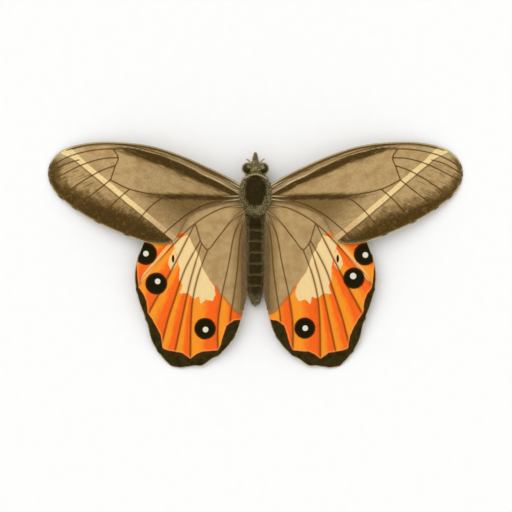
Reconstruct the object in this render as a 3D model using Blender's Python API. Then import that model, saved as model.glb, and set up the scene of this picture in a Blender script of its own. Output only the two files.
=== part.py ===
"""A dried butterfly with its wings spread, lying belly down.

Sizes are in millimetres and are turned to metres where a mesh is made. +Y points to the head and +X to
the insect's right, and Z is 0 at the surface that it lies on. Each form is given for the right side, and
the left one is its mirror image.
"""

import math

import bmesh
import bpy
from mathutils import Vector
from mathutils.geometry import delaunay_2d_cdt

MM = 0.001

# The wings' middle surface: level at the thorax, and drooping to the tips, the front and the rear
HALF_SPAN = 45.1
WING_LEVEL = 5.1
TIP_DROOP = 4.75
FRONT_DROOP = 0.6
FRONT_FROM = 13.0
FRONT_REACH = 12.0
REAR_DROOP = 3.6
REAR_FROM = -1.0
REAR_REACH = 23.6
REAR_POWER = 1.6
# The hindwing's inner edge bends down beside the abdomen
GUTTER_DROOP = 0.55
GUTTER_WIDTH = 3.5
GUTTER_FROM = 6.0
GUTTER_REACH = 4.0
BODY_EDGE = 2.45

WING_THICKNESS = 0.35
HINDWING_DROP = 0.55
WING_GRID = 2.25
MARGIN_STEP = 1.75

# Outlines from the front of the root, round the tip, to the rear of the root
FOREWING = [
    (3.15, 15.3), (5.3, 16.6), (10.5, 19.15), (16.2, 21.65), (22.6, 23.65), (29.5, 24.5), (35.9, 24.4),
    (41.2, 23.1), (44.1, 20.9), (HALF_SPAN, 17.6), (43.6, 13.7), (39.6, 10.2), (35.1, 7.4), (28.0, 4.2),
    (22.5, 2.6), (18.0, 2.9), (14.3, 8.4), (9.0, 10.7), (3.35, 11.7),
]
HINDWING = [
    (3.4, 12.2), (8.0, 13.2), (14.0, 12.6), (19.5, 9.6), (23.0, 5.6), (24.9, 1.2), (26.0, -2.4),
    (26.2, -5.5), (25.3, -10.0), (23.6, -14.7), (22.6, -18.6), (20.4, -22.1), (18.4, -24.0),
    (16.2, -24.55), (13.8, -24.1), (11.6, -24.1), (9.5, -22.7), (7.7, -21.6), (5.6, -19.5), (3.7, -16.3),
    (2.7, -12.1), (2.4, -9.0), (BODY_EDGE, -4.0), (BODY_EDGE, 4.5), (2.6, 8.4),
]

# Body sections from rear to front: y, half width, top, bottom, height of the widest place
THORAX = [
    (7.9, 1.5, 4.6, 1.2, 3.0), (8.6, 2.2, 5.4, 0.5, 3.2), (10.0, 2.8, 6.2, -0.1, 3.6),
    (12.2, 3.1, 6.8, -0.25, 3.8), (14.4, 3.25, 6.9, -0.25, 3.9), (15.9, 3.0, 6.35, 0.1, 3.9),
    (16.9, 2.5, 5.6, 0.9, 3.7), (17.5, 1.75, 4.9, 1.8, 3.5),
]
ABDOMEN = [
    (-10.8, 0.4, 2.0, 0.9, 1.4), (-10.3, 0.95, 2.6, 0.3, 1.5), (-9.0, 1.4, 3.3, -0.1, 1.8),
    (-6.5, 1.85, 4.0, -0.15, 2.2), (-3.0, 2.2, 4.6, -0.2, 2.4), (1.0, 2.4, 4.9, -0.2, 2.5),
    (4.5, 2.4, 5.0, -0.15, 2.6), (6.6, 2.15, 4.7, 0.2, 2.7), (7.6, 1.5, 4.1, 1.0, 2.7),
]
HEAD = [
    (17.65, 1.2, 4.6, 2.4, 3.5), (18.1, 1.6, 5.0, 2.0, 3.5), (18.8, 1.75, 5.1, 1.9, 3.5),
    (19.5, 1.45, 4.9, 2.1, 3.4), (19.9, 0.9, 4.3, 2.6, 3.3),
]
AROUND = 24
BODY_STEP = 0.6
ABDOMEN_SEGMENT = 2.4
SEGMENT_FLARE = 0.05
RESTS_AT = 0.0

EYE_AT = Vector((1.72, 18.75, 3.55))
EYE_RADII = Vector((1.0, 1.05, 1.3))
SOCKET_GAP = 0.08

# Routes on the right side: x, y, z and the radius there
PALP = [
    (0.37, 20.1, 2.45, 0.3), (0.4, 20.7, 2.8, 0.35), (0.37, 21.4, 3.15, 0.32), (0.31, 22.0, 3.45, 0.26),
    (0.26, 22.3, 3.6, 0.16),
]
ANTENNA = [
    (1.08, 19.9, 4.5, 0.2), (1.2, 20.2, 4.65, 0.17), (1.52, 20.5, 4.8, 0.15), (1.98, 20.76, 4.85, 0.12),
]
LEGS = {
    "foreleg": [
        (1.55, 16.4, 0.75, 0.26), (1.95, 17.6, 1.0, 0.3), (1.9, 18.7, 1.15, 0.22), (1.3, 19.6, 0.9, 0.14),
    ],
    "midleg": [
        (2.75, 13.9, 1.0, 0.28), (4.1, 12.6, 1.5, 0.38), (5.5, 11.0, 1.7, 0.26), (5.15, 8.6, 1.1, 0.24),
        (4.5, 5.6, 0.45, 0.2), (4.15, 3.4, 0.25, 0.15), (4.05, 1.2, 0.2, 0.12),
    ],
    "hindleg": [
        (2.55, 10.9, 0.95, 0.28), (3.8, 8.9, 1.5, 0.38), (4.6, 6.6, 1.6, 0.26), (3.95, 3.6, 0.95, 0.24),
        (3.4, 0.6, 0.45, 0.2), (3.25, -2.2, 0.25, 0.15), (3.45, -5.2, 0.2, 0.12),
    ],
}
LIMB_ROUNDNESS = 2

# The feeding tube, coiled in the plane of symmetry under the palps
COIL_AT = Vector((0.0, 20.05, 1.3))
COIL_OUTER = 0.7
COIL_PITCH = 0.28
COIL_TURNS = 1.9
COIL_RADIUS = 0.11
COIL_STEPS = 14

# Colour and roughness of each surface
TAN = ((0.46, 0.31, 0.14), 0.8)
ORANGE = ((0.9, 0.23, 0.03), 0.8)
FUR = ((0.12, 0.08, 0.03), 0.9)
HORN = ((0.09, 0.05, 0.02), 0.5)
EYE = ((0.03, 0.02, 0.01), 0.15)


def material(name, look):
    colour, roughness = look
    made = bpy.data.materials.new(name)
    made.use_nodes = True
    surface = made.node_tree.nodes["Principled BSDF"]
    surface.inputs["Base Color"].default_value = (*colour, 1.0)
    surface.inputs["Roughness"].default_value = roughness
    surface.inputs["Metallic"].default_value = 0.0
    made.diffuse_color = (*colour, 1.0)
    return made


def add(name, data, look, at=(0, 0, 0)):
    """The named sub-part, with its origin at a place in millimetres."""
    made = bpy.data.objects.new(name, data)
    made.location = Vector(at) * MM
    bpy.context.scene.collection.objects.link(made)
    data.materials.append(material(name, look))
    return made


def mesh_of(name, points, faces):
    """A mesh of points in millimetres, with the faces of a closed shape turned outwards."""
    mesh = bpy.data.meshes.new(name)
    mesh.from_pydata([Vector(p) * MM for p in points], [], faces)
    shape = bmesh.new()
    shape.from_mesh(mesh)
    bmesh.ops.recalc_face_normals(shape, faces=shape.faces)
    shape.to_mesh(mesh)
    shape.free()
    mesh.shade_smooth()
    return mesh


def smooth_through(points, step):
    """Points about step apart along one smooth curve through points of any dimension."""
    points = [Vector(p) for p in points]
    slopes = []
    for i, here in enumerate(points):
        before = points[max(i - 1, 0)]
        after = points[min(i + 1, len(points) - 1)]
        slopes.append((after - before) / ((after - here).length + (here - before).length))
    made = []
    for i, start in enumerate(points[:-1]):
        end = points[i + 1]
        length = (end - start).length
        count = max(1, round(length / step))
        for k in range(count):
            t = k / count
            place = start * (1 + 2 * t) * (1 - t) ** 2 + end * t * t * (3 - 2 * t)
            made.append(place + (slopes[i] * t * (1 - t) ** 2 - slopes[i + 1] * t * t * (1 - t)) * length)
    return [*made, points[-1]]


def clamp(value):
    return min(max(value, 0.0), 1.0)


def wing_height(x, y):
    """Height of the forewing's middle surface, and of the hindwing's before it is dropped below it."""
    tip = TIP_DROOP * (abs(x) / HALF_SPAN) ** 2
    front = FRONT_DROOP * clamp((y - FRONT_FROM) / FRONT_REACH) ** 2
    rear = REAR_DROOP * clamp((REAR_FROM - y) / REAR_REACH) ** REAR_POWER
    beside_body = clamp((BODY_EDGE + GUTTER_WIDTH - abs(x)) / GUTTER_WIDTH) ** 2
    gutter = GUTTER_DROOP * beside_body * clamp((GUTTER_FROM - y) / GUTTER_REACH)
    return WING_LEVEL - tip - front - rear - gutter


def is_inside(point, loop, margin):
    """Whether a point lies inside a closed outline, and further than the margin from it."""
    crossings = 0
    for i, a in enumerate(loop):
        b = loop[i - 1]
        along = (point - a).dot(b - a) / max((b - a).length_squared, 1e-12)
        if (a.lerp(b, clamp(along)) - point).length < margin:
            return False
        if (a.y > point.y) != (b.y > point.y):
            crossings += point.x < a.x + (b.x - a.x) * (point.y - a.y) / (b.y - a.y)
    return crossings % 2 == 1


def wing_plan(outline):
    """The wing seen from above: its points and even triangles."""
    edge = smooth_through(outline, MARGIN_STEP)
    row_height = WING_GRID * math.sqrt(3) / 2
    low = min(p.y for p in edge)
    rows = math.ceil((max(p.y for p in edge) - low) / row_height)
    columns = math.ceil(max(p.x for p in edge) / WING_GRID) + 1
    grid = [
        Vector(((column + row % 2 / 2) * WING_GRID, low + row * row_height))
        for row in range(rows)
        for column in range(columns)
    ]
    inner = [p for p in grid if is_inside(p, edge, WING_GRID * 0.6)]
    inside_only = 1
    points, _, faces, *_ = delaunay_2d_cdt(edge + inner, [], [list(range(len(edge)))], inside_only, 1e-6)
    return points, faces


def add_wing(name, outline, drop, side, look):
    """A thin cambered sheet with its origin where the wing is hinged to the thorax."""
    points, faces = wing_plan(outline)
    hinge = (Vector(outline[0]) + Vector(outline[-1])) / 2
    hinge = Vector((side * hinge.x, hinge.y, wing_height(*hinge) - drop))
    sheet = [Vector((side * p.x, p.y, wing_height(p.x, p.y) - drop)) - hinge for p in points]
    wing = add(name, mesh_of(name, sheet, faces), look, hinge)
    thickness = wing.modifiers.new("thickness", "SOLIDIFY")
    thickness.thickness = WING_THICKNESS * MM
    thickness.offset = 0.0


def add_body(name, sections, look, flare=0.0, segment=1.0):
    """A rounded form through the sections, flat where it rests, each segment flaring towards the rear."""
    sections = smooth_through(sections, BODY_STEP)
    front = sections[-1][0]
    points = []
    for y, half_width, top, bottom, widest in sections:
        swell = 1 + flare * (((front - y) / segment) % 1 - 0.5)
        for k in range(AROUND):
            angle = 2 * math.pi * k / AROUND
            rise = top - widest if math.sin(angle) > 0 else widest - bottom
            height = widest + swell * rise * math.sin(angle)
            points.append((swell * half_width * math.cos(angle), y, max(height, RESTS_AT)))
    faces = [list(range(AROUND)), list(range(len(points) - AROUND, len(points)))]
    for start in range(0, len(points) - AROUND, AROUND):
        for k in range(AROUND):
            after = (k + 1) % AROUND
            faces.append((start + k, start + after, start + AROUND + after, start + AROUND + k))
    return add(name, mesh_of(name, points, faces), look)


def add_ball(name, at, radii, look):
    ball = bmesh.new()
    bmesh.ops.create_icosphere(ball, subdivisions=3, radius=1.0)
    bmesh.ops.scale(ball, vec=radii * MM, verts=ball.verts)
    mesh = bpy.data.meshes.new(name)
    ball.to_mesh(mesh)
    ball.free()
    mesh.shade_smooth()
    return add(name, mesh, look, at)


def add_tube(name, route, look, side=1):
    """A tapering round limb along a route of x, y, z and radius, with its origin at the near end."""
    start = Vector((side * route[0][0], route[0][1], route[0][2]))
    curve = bpy.data.curves.new(name, "CURVE")
    curve.dimensions = "3D"
    curve.bevel_depth = MM
    curve.bevel_resolution = LIMB_ROUNDNESS
    curve.use_fill_caps = True
    spline = curve.splines.new("POLY")
    spline.points.add(len(route) - 1)
    for point, (x, y, z, radius) in zip(spline.points, route):
        point.co = (*((Vector((side * x, y, z)) - start) * MM), 1.0)
        point.radius = radius
    return add(name, curve, look, start)


def coil_route():
    """The spiral of the feeding tube, from its outer end to its middle."""
    route = []
    for k in range(math.ceil(COIL_TURNS * COIL_STEPS) + 1):
        turns = k / COIL_STEPS
        reach = COIL_OUTER - COIL_PITCH * turns
        angle = math.pi / 2 - 2 * math.pi * turns
        place = COIL_AT + Vector((0, reach * math.cos(angle), reach * math.sin(angle)))
        route.append((*place, COIL_RADIUS))
    return route


def add_head():
    """The head, with a socket for each eye."""
    head = add_body("head", HEAD, FUR)
    for side, word in ((1, "right"), (-1, "left")):
        at = Vector((side * EYE_AT.x, EYE_AT.y, EYE_AT.z))
        add_ball(word + "_eye", at, EYE_RADII, EYE)
        socket = add_ball(word + "_socket", at, EYE_RADII + Vector((SOCKET_GAP,) * 3), EYE)
        socket.hide_render = True
        socket.display_type = "WIRE"
        cut = head.modifiers.new(word + " socket", "BOOLEAN")
        cut.object = socket


def main():
    for old in list(bpy.data.objects):
        bpy.data.objects.remove(old)
    add_head()
    add_body("thorax", THORAX, FUR)
    add_body("abdomen", ABDOMEN, FUR, SEGMENT_FLARE, ABDOMEN_SEGMENT)
    add_tube("proboscis", coil_route(), HORN)
    for side, word in ((1, "right"), (-1, "left")):
        add_wing(word + "_forewing", FOREWING, 0.0, side, TAN)
        add_wing(word + "_hindwing", HINDWING, HINDWING_DROP, side, ORANGE)
        add_tube(word + "_palp", PALP, FUR, side)
        add_tube(word + "_antenna", ANTENNA, HORN, side)
        for leg, route in LEGS.items():
            add_tube(word + "_" + leg, route, HORN, side)


main()
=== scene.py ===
"""Looks of a dried butterfly with its wings spread, lying belly down.

Sizes are in millimetres and are turned to metres where a mesh is made. +Y points to the head and +X to
the insect's right, and Z is 0 at the surface that it lies on. Forms and markings are given for the right
side, and the left one is its mirror image, where a few markings lie a little differently.
"""

import math
from functools import partialmethod, reduce
from types import SimpleNamespace

import bmesh
import bpy
import numpy as np
from bpy.props import FloatProperty, FloatVectorProperty, PointerProperty
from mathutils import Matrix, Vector, noise
from mathutils.geometry import delaunay_2d_cdt


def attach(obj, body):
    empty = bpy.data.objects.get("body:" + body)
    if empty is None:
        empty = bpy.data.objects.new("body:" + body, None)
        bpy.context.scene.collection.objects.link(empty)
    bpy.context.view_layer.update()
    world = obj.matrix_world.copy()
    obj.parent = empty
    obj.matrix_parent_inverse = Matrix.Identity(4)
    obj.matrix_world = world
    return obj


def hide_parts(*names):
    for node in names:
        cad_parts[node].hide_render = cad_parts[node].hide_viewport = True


bl_info = {
    "name": "Spread butterfly",
    "version": (1, 0, 0),
    "blender": (4, 5, 0),
    "location": "View3D > Sidebar > Butterfly",
    "description": "Wings, veins, fringes, fur, eyes and limbs of a dried butterfly",
    "category": "Object",
}

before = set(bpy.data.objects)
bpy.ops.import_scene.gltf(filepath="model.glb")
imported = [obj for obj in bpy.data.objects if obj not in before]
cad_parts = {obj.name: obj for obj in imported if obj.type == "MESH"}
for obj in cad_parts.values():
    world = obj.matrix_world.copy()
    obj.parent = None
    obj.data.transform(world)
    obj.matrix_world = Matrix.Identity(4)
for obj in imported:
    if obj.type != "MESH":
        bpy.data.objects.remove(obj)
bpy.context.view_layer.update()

MM = 0.001
HALF_SPAN = 45.1

# The wings' middle surface: level at the thorax, and drooping to the tips, the front and the rear
WING_LEVEL = 5.1
TIP_DROOP = 4.75
FRONT_DROOP = 0.6
FRONT_FROM = 13.0
FRONT_REACH = 12.0
REAR_DROOP = 3.6
REAR_FROM = -1.0
REAR_REACH = 23.6
REAR_POWER = 1.6
GUTTER_DROOP = 0.55
GUTTER_WIDTH = 3.5
GUTTER_FROM = 6.0
GUTTER_REACH = 4.0
BODY_EDGE = 2.45
HINDWING_DROP = 0.55
# The membrane's relief: ridges at the veins, and ripples
RIDGE_HEIGHT = 0.055
RIDGE_WIDTH = 0.45
RIPPLE_HEIGHT = 0.035
RIPPLE_LENGTH = 2.6
RELIEF_DROP = 0.02
# How far in from its rim the membrane gets thinner, and the share of its thickness that the rim keeps
THIN_RIM = 0.6
THIN_SHARE = 0.35

# Outlines from the front of the root, round the tip, to the rear of the root
FOREWING = [
    (3.15, 15.3), (5.3, 16.6), (10.5, 19.15), (16.2, 21.65), (22.6, 23.65), (29.5, 24.5), (35.9, 24.4),
    (41.2, 23.1), (44.1, 20.9), (HALF_SPAN, 17.6), (43.6, 13.7), (39.6, 10.2), (35.1, 7.4), (28.0, 4.2),
    (22.5, 2.6), (18.0, 2.9), (14.3, 8.4), (9.0, 10.7), (3.35, 11.7),
]
HINDWING = [
    (3.4, 12.2), (8.0, 13.2), (14.0, 12.6), (19.5, 9.6), (23.0, 5.6), (24.9, 1.2), (26.0, -2.4),
    (26.2, -5.5), (25.3, -10.0), (23.6, -14.7), (22.6, -18.6), (20.4, -22.1), (18.4, -24.0),
    (16.2, -24.55), (13.8, -24.1), (11.6, -24.1), (9.5, -22.7), (7.7, -21.6), (5.6, -19.5), (3.7, -16.3),
    (2.7, -12.1), (2.4, -9.0), (BODY_EDGE, -4.0), (BODY_EDGE, 4.5), (2.6, 8.4),
]
# The first and last point of each outline's fringed part, the length over which the fringe grows to its
# full length, and the share of it that the bare front edges keep
FOREWING_FRINGED = (7, 14)
HINDWING_FRINGED = (2, 20)
FRINGE_RAMP = 3.0
BARE_EDGE = 0.25
# Where each wing's sheet runs on under the fur of the thorax
FOREWING_ROOT = [(2.1, 12.6), (2.1, 14.4)]
HINDWING_ROOT = [(1.9, 9.2), (1.9, 11.4)]

# Veins as x, y and radius from root to margin
FOREWING_VEINS = {
    "costa": [
        (3.0, 14.9, 0.17), (5.3, 16.3, 0.17), (10.5, 18.8, 0.16), (16.2, 21.3, 0.15), (22.6, 23.3, 0.14),
        (29.5, 24.15, 0.12), (35.9, 24.05, 0.11), (41.0, 22.8, 0.1),
    ],
    "subcosta": [
        (2.9, 14.3, 0.16), (6.0, 16.0, 0.15), (10.5, 18.05, 0.14), (16.0, 20.35, 0.12), (22.0, 22.4, 0.11),
        (27.5, 23.7, 0.09), (30.5, 24.1, 0.08),
    ],
    "radius": [
        (2.7, 13.4, 0.17), (6.0, 14.75, 0.17), (11.3, 16.9, 0.16), (19.1, 20.1, 0.15), (25.3, 22.7, 0.13),
        (30.84, 23.04, 0.12), (34.8, 22.8, 0.11), (38.9, 21.95, 0.1), (41.6, 20.9, 0.09), (44.4, 19.2, 0.08),
    ],
    "cell end": [
        (30.84, 23.04, 0.11), (29.69, 21.14, 0.11), (30.37, 19.2, 0.11), (31.4, 16.3, 0.11),
    ],
    "first medial": [
        (29.69, 21.14, 0.11), (33.2, 20.9, 0.11), (37.6, 19.6, 0.11), (41.0, 17.95, 0.1), (44.5, 16.1, 0.08),
    ],
    "apex fork": [(38.2, 20.7, 0.05), (40.7, 20.0, 0.08), (43.0, 18.8, 0.08), (44.8, 17.6, 0.07)],
    "second medial": [
        (30.37, 19.4, 0.11), (33.2, 18.4, 0.11), (36.4, 16.7, 0.11), (39.6, 14.6, 0.1), (42.3, 12.6, 0.08),
    ],
    "third medial": [(31.4, 16.3, 0.11), (34.8, 13.6, 0.11), (37.0, 12.0, 0.1), (39.3, 10.1, 0.08)],
    "cubitus": [
        (2.7, 12.8, 0.16), (6.0, 12.7, 0.16), (14.3, 12.9, 0.15), (22.2, 13.2, 0.13), (27.5, 14.4, 0.12),
        (31.4, 16.3, 0.11),
    ],
    "first branch": [(27.2, 14.3, 0.11), (30.0, 11.9, 0.11), (31.9, 9.8, 0.1), (34.2, 7.2, 0.08)],
    "second branch": [(18.6, 13.0, 0.12), (21.5, 11.5, 0.11), (24.2, 8.9, 0.1), (27.9, 4.4, 0.08)],
    "anal vein": [
        (2.7, 12.2, 0.15), (5.0, 11.9, 0.14), (10.0, 11.2, 0.13), (14.6, 8.9, 0.12), (18.4, 5.9, 0.1),
        (21.6, 2.9, 0.08),
    ],
}
HINDWING_VEINS = {
    "costa": [
        (2.6, 11.5, 0.15), (8.0, 12.6, 0.14), (14.0, 12.0, 0.13), (19.2, 9.0, 0.11), (23.0, 4.6, 0.1),
        (25.1, -0.3, 0.08),
    ],
    "radius": [
        (2.6, 10.6, 0.16), (7.0, 10.2, 0.15), (13.0, 6.9, 0.13), (18.0, 2.0, 0.11), (22.0, -2.3, 0.1),
        (24.2, -4.7, 0.09), (25.9, -7.6, 0.08),
    ],
    "first medial": [
        (13.0, 6.9, 0.12), (15.2, 2.6, 0.11), (17.4, -1.8, 0.11), (20.3, -7.4, 0.1), (22.2, -10.8, 0.09),
        (23.9, -14.0, 0.08),
    ],
    "third medial": [
        (11.9, 3.2, 0.12), (15.2, -3.0, 0.11), (17.3, -9.0, 0.1), (18.9, -13.8, 0.09), (20.3, -19.0, 0.09),
        (21.2, -21.0, 0.08),
    ],
    "first cubital": [
        (11.6, 2.6, 0.11), (13.9, -5.0, 0.1), (15.8, -13.4, 0.09), (17.4, -20.7, 0.09), (18.2, -23.9, 0.08),
    ],
    "second cubital": [
        (10.3, 1.2, 0.12), (12.4, -4.5, 0.11), (13.6, -10.0, 0.1), (14.0, -16.0, 0.09), (14.1, -23.9, 0.08),
    ],
    "cell": [
        (2.3, 9.6, 0.16), (5.0, 7.6, 0.15), (8.4, 3.4, 0.13), (10.3, 1.2, 0.12), (11.6, 2.6, 0.1),
        (11.9, 3.2, 0.1), (13.0, 6.9, 0.1),
    ],
    "first anal": [
        (2.3, 9.0, 0.15), (4.4, 5.0, 0.14), (5.8, -2.0, 0.12), (7.3, -9.0, 0.11), (8.1, -15.0, 0.1),
        (8.1, -21.5, 0.08),
    ],
    "second anal": [
        (2.3, 8.4, 0.14), (3.3, 4.0, 0.13), (3.9, -3.0, 0.12), (4.7, -9.0, 0.1), (5.4, -13.5, 0.09),
        (5.2, -17.6, 0.08),
    ],
}
# The veins that part the hindwing's outer field into rays, from front to rear, where they spread from, and
# the angles that the first and the last ray cover
RAY_VEINS = ["radius", "first medial", "third medial", "first cubital", "second cubital", "first anal"]
RAY_CENTRE = (10.0, 6.0)
FIRST_RAY = 0.28
LAST_RAY = 0.22

# Forewing markings: the straight cream band from the front edge to the rear corner
BAND_FROM = (40.6, 22.5)
BAND_TO = (18.4, 4.4)
BAND_WAY = np.subtract(BAND_TO, BAND_FROM) / math.dist(BAND_TO, BAND_FROM)
BAND_HALF_WIDTH = 0.55
BAND_FLARE = 0.35
BAND_FLARE_LENGTH = 6.0
BAND_WEDGE = 0.8
BAND_WEDGE_LENGTH = 2.4
# The dark stripe on the forewing's radius: how far out, and the heights of its two edges there
STRIPE_X = [2.5, 4.6, 5.9, 7.6, 9.4, 11.1, 13.7, 16.3, 20.0, 23.0, 26.0, 29.0, 32.0]
STRIPE_TOP = [12.6, 13.8, 14.6, 15.6, 16.45, 17.2, 18.7, 19.95, 21.5, 22.3, 23.1, 23.6, 23.7]
STRIPE_BOTTOM = [11.9, 12.7, 13.35, 14.25, 15.3, 15.95, 17.1, 18.2, 19.95, 20.85, 21.9, 22.8, 23.3]
LEFT_STRIPE_DROP = 0.5
# How strong that stripe is, by the way out, and the one along the cubitus, by the way along this vein
STRIPE_STRENGTH = ([2.0, 4.0, 23.0, 28.0, 32.0], [0.6, 1.0, 1.0, 0.75, 0.0])
CUBITUS_STRENGTH = ([0, 5, 15, 19, 25], [0.5, 0.95, 0.95, 0.6, 0.0])
CUBITUS_WIDTH = 0.8
CUBITUS_DROP = 0.35
# How far the dark outer margin reaches in from the tip to the rear corner, by the way along the cream band
DUSK_ALONG = [0.0, 4.0, 8.0, 13.0, 18.0, 23.0, 28.0]
DUSK_REACH = [1.9, 2.8, 3.6, 4.4, 5.0, 4.3, 2.6]
# Hindwing markings as outlines. The border's is its inner edge, with a point at each vein
MARKINGS = {
    "border": [
        (27.5, -1.2), (25.7, -2.2), (25.5, -5.2), (25.3, -6.9), (24.3, -8.3), (23.6, -10.0),
        (23.35, -12.5), (22.6, -13.5), (21.5, -15.4), (20.5, -17.4), (20.15, -20.2), (18.9, -20.7),
        (17.4, -20.9), (15.9, -21.2), (14.1, -22.5), (12.9, -21.5), (11.6, -20.9), (10.1, -20.8),
        (8.1, -20.6), (7.5, -19.4), (6.9, -17.2), (6.2, -15.2), (4.6, -14.1), (0.0, -13.6), (0.0, 20.0),
        (30.0, 20.0),
    ],
    "orange": [
        (14.5, 4.2), (18.5, 6.2), (24.0, 5.5), (32.0, 2.0), (32.0, -32.0), (0.0, -32.0), (0.0, -14.2),
        (4.1, -12.4), (7.6, -8.3), (8.6, -6.6), (10.5, -4.6), (12.6, -1.0),
    ],
    "cream": [
        (14.6, 4.4), (17.9, 3.4), (16.9, -0.7), (16.4, -3.0), (16.5, -5.3), (15.8, -6.6), (16.4, -8.3),
        (14.6, -8.2), (13.5, -9.4), (12.2, -8.9), (11.9, -10.6), (10.7, -9.6), (9.3, -9.9), (8.6, -8.6),
        (8.9, -6.7), (11.1, -3.4), (12.0, -0.7),
    ],
    "pale_spot": [
        (17.5, 1.5), (18.7, -0.6), (18.9, -1.9), (18.2, -3.5), (17.0, -2.1), (16.9, -0.5),
    ],
    "streak": [
        (17.6, 2.8), (19.0, 2.3), (21.6, -0.8), (24.3, -4.0), (25.25, -6.3), (24.3, -5.4), (21.2, -1.7),
    ],
}
# Eyespots of each side: centre x and y, radius, then its pale pupil's centre and radius
EYESPOTS = {
    1: [
        (23.7, 0.2, 2.45, 23.8, 0.05, 0.62), (21.3, -5.0, 2.35, 21.15, -4.5, 0.68),
        (10.7, -15.8, 2.3, 10.8, -15.8, 0.6),
    ],
    -1: [
        (23.7, 0.3, 2.45, 23.7, 0.35, 0.6), (21.45, -6.15, 2.4, 21.15, -5.65, 0.6),
        (10.9, -15.9, 2.35, 10.8, -16.1, 0.62),
    ],
}
# The small dark oval in the pale spot: centre x and y, half its width and half its length
SPOT_OVAL = (17.8, -0.75, 0.28, 0.85)
# The shine of the wings' scales, and how far the undersides fade
WING_GLOSS = 0.04
UNDER_FADE = 0.45

# Body sections from rear to front: y, half width, top, bottom, height of the widest place
THORAX = [
    (7.9, 1.5, 4.6, 1.2, 3.0), (8.6, 2.2, 5.4, 0.5, 3.2), (10.0, 2.8, 6.2, -0.1, 3.6),
    (12.2, 3.1, 6.8, -0.25, 3.8), (14.4, 3.25, 6.9, -0.25, 3.9), (15.9, 3.0, 6.35, 0.1, 3.9),
    (16.9, 2.5, 5.6, 0.9, 3.7), (17.5, 1.75, 4.9, 1.8, 3.5),
]
ABDOMEN = [
    (-10.8, 0.4, 2.0, 0.9, 1.4), (-10.3, 0.95, 2.6, 0.3, 1.5), (-9.0, 1.4, 3.3, -0.1, 1.8),
    (-6.5, 1.85, 4.0, -0.15, 2.2), (-3.0, 2.2, 4.6, -0.2, 2.4), (1.0, 2.4, 4.9, -0.2, 2.5),
    (4.5, 2.4, 5.0, -0.15, 2.6), (6.6, 2.15, 4.7, 0.2, 2.7), (7.6, 1.5, 4.1, 1.0, 2.7),
]
HEAD = [
    (17.65, 1.2, 4.6, 2.4, 3.5), (18.1, 1.6, 5.0, 2.0, 3.5), (18.8, 1.75, 5.1, 1.9, 3.5),
    (19.4, 1.3, 4.8, 2.2, 3.4), (19.8, 0.5, 4.0, 2.8, 3.3),
]
ABDOMEN_SEGMENT = 2.4
# The right eye's middle and radii, the share of them that the facets take, and the ring of scales round it:
# its reach to the side and along the body, how far it is below the middle, and its steps
EYE_AT = (1.72, 18.75, 3.55)
EYE_RADII = (1.0, 1.05, 1.3)
FACET_SHARE = 0.975
EYE_RING_REACH = (0.94, 0.98)
EYE_RING_DROP = 0.25
EYE_RING_STEPS = 48

# Routes on the right side: x, y, z and the radius there
PALP = [
    (0.3145, 20.1, 2.45, 0.294), (0.288, 20.7, 2.8, 0.301), (0.2183, 21.4, 3.15, 0.2368),
    (0.1426, 22.0, 3.45, 0.1612), (0.0858, 22.3, 3.6, 0.08),
]
ANTENNA = [
    (1.08, 19.9, 4.5, 0.2), (1.2, 20.2, 4.65, 0.17), (1.52, 20.5, 4.8, 0.15), (1.98, 20.76, 4.85, 0.12),
]
LEGS = {
    "foreleg": [
        (1.55, 16.4, 0.75, 0.26), (1.95, 17.6, 1.0, 0.3), (1.9, 18.7, 1.15, 0.22), (1.3, 19.6, 0.9, 0.14),
    ],
    "midleg": [
        (2.75, 13.9, 1.0, 0.28), (4.1, 12.6, 1.5, 0.38), (5.5, 11.0, 1.7, 0.26), (5.15, 8.6, 1.1, 0.24),
        (4.5, 5.6, 0.45, 0.2), (4.15, 3.4, 0.25, 0.15), (4.05, 1.2, 0.2, 0.12),
    ],
    "hindleg": [
        (2.55, 10.9, 0.95, 0.28), (3.8, 8.9, 1.5, 0.38), (4.6, 6.6, 1.6, 0.26), (3.95, 3.6, 0.95, 0.24),
        (3.4, 0.6, 0.45, 0.2), (3.25, -2.2, 0.25, 0.15), (3.45, -5.2, 0.2, 0.12),
    ],
}
# The feeding tube: where it leaves the head, then its coil's middle, reach, way in for each turn, and turns
COIL_ROOT = [(0.0, 19.35, 2.6), (0.0, 19.7, 2.2)]
COIL_AT = (0.0, 20.05, 1.3)
COIL_OUTER = 0.7
COIL_PITCH = 0.28
COIL_TURNS = 1.9
COIL_RADIUS = 0.11
COIL_STEPS = 14

# The tufts over the wing roots, at the neck, at the waist and on the face: x, y, z and radius
SHOULDER = [
    (2.2, 16.4, 4.9, 0.3), (2.75, 15.2, 5.1, 0.5), (2.95, 13.6, 5.25, 0.55), (2.85, 11.9, 5.1, 0.5),
    (2.5, 10.4, 4.9, 0.35),
]
NECK = [(0.0, 16.7, 3.2, 1.5), (0.0, 17.5, 3.0, 1.8), (0.0, 18.2, 3.0, 1.75)]
WAIST = [(0.0, 9.6, 2.9, 2.1), (0.0, 8.3, 2.6, 2.3), (0.0, 6.8, 2.35, 2.2)]
FACE = [(0.0, 18.9, 3.6, 1.1), (0.0, 19.6, 3.45, 0.95), (0.0, 20.1, 3.2, 0.75), (0.0, 20.6, 3.0, 0.5)]

# The pale collar: its front at the middle, its bend, how deep it stands in the fur, and its rows
COLLAR_FRONT = 17.42
COLLAR_BEND = 0.17
COLLAR_DEPTH = 0.05
COLLAR_ROWS = (0.0, 0.14)
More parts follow.
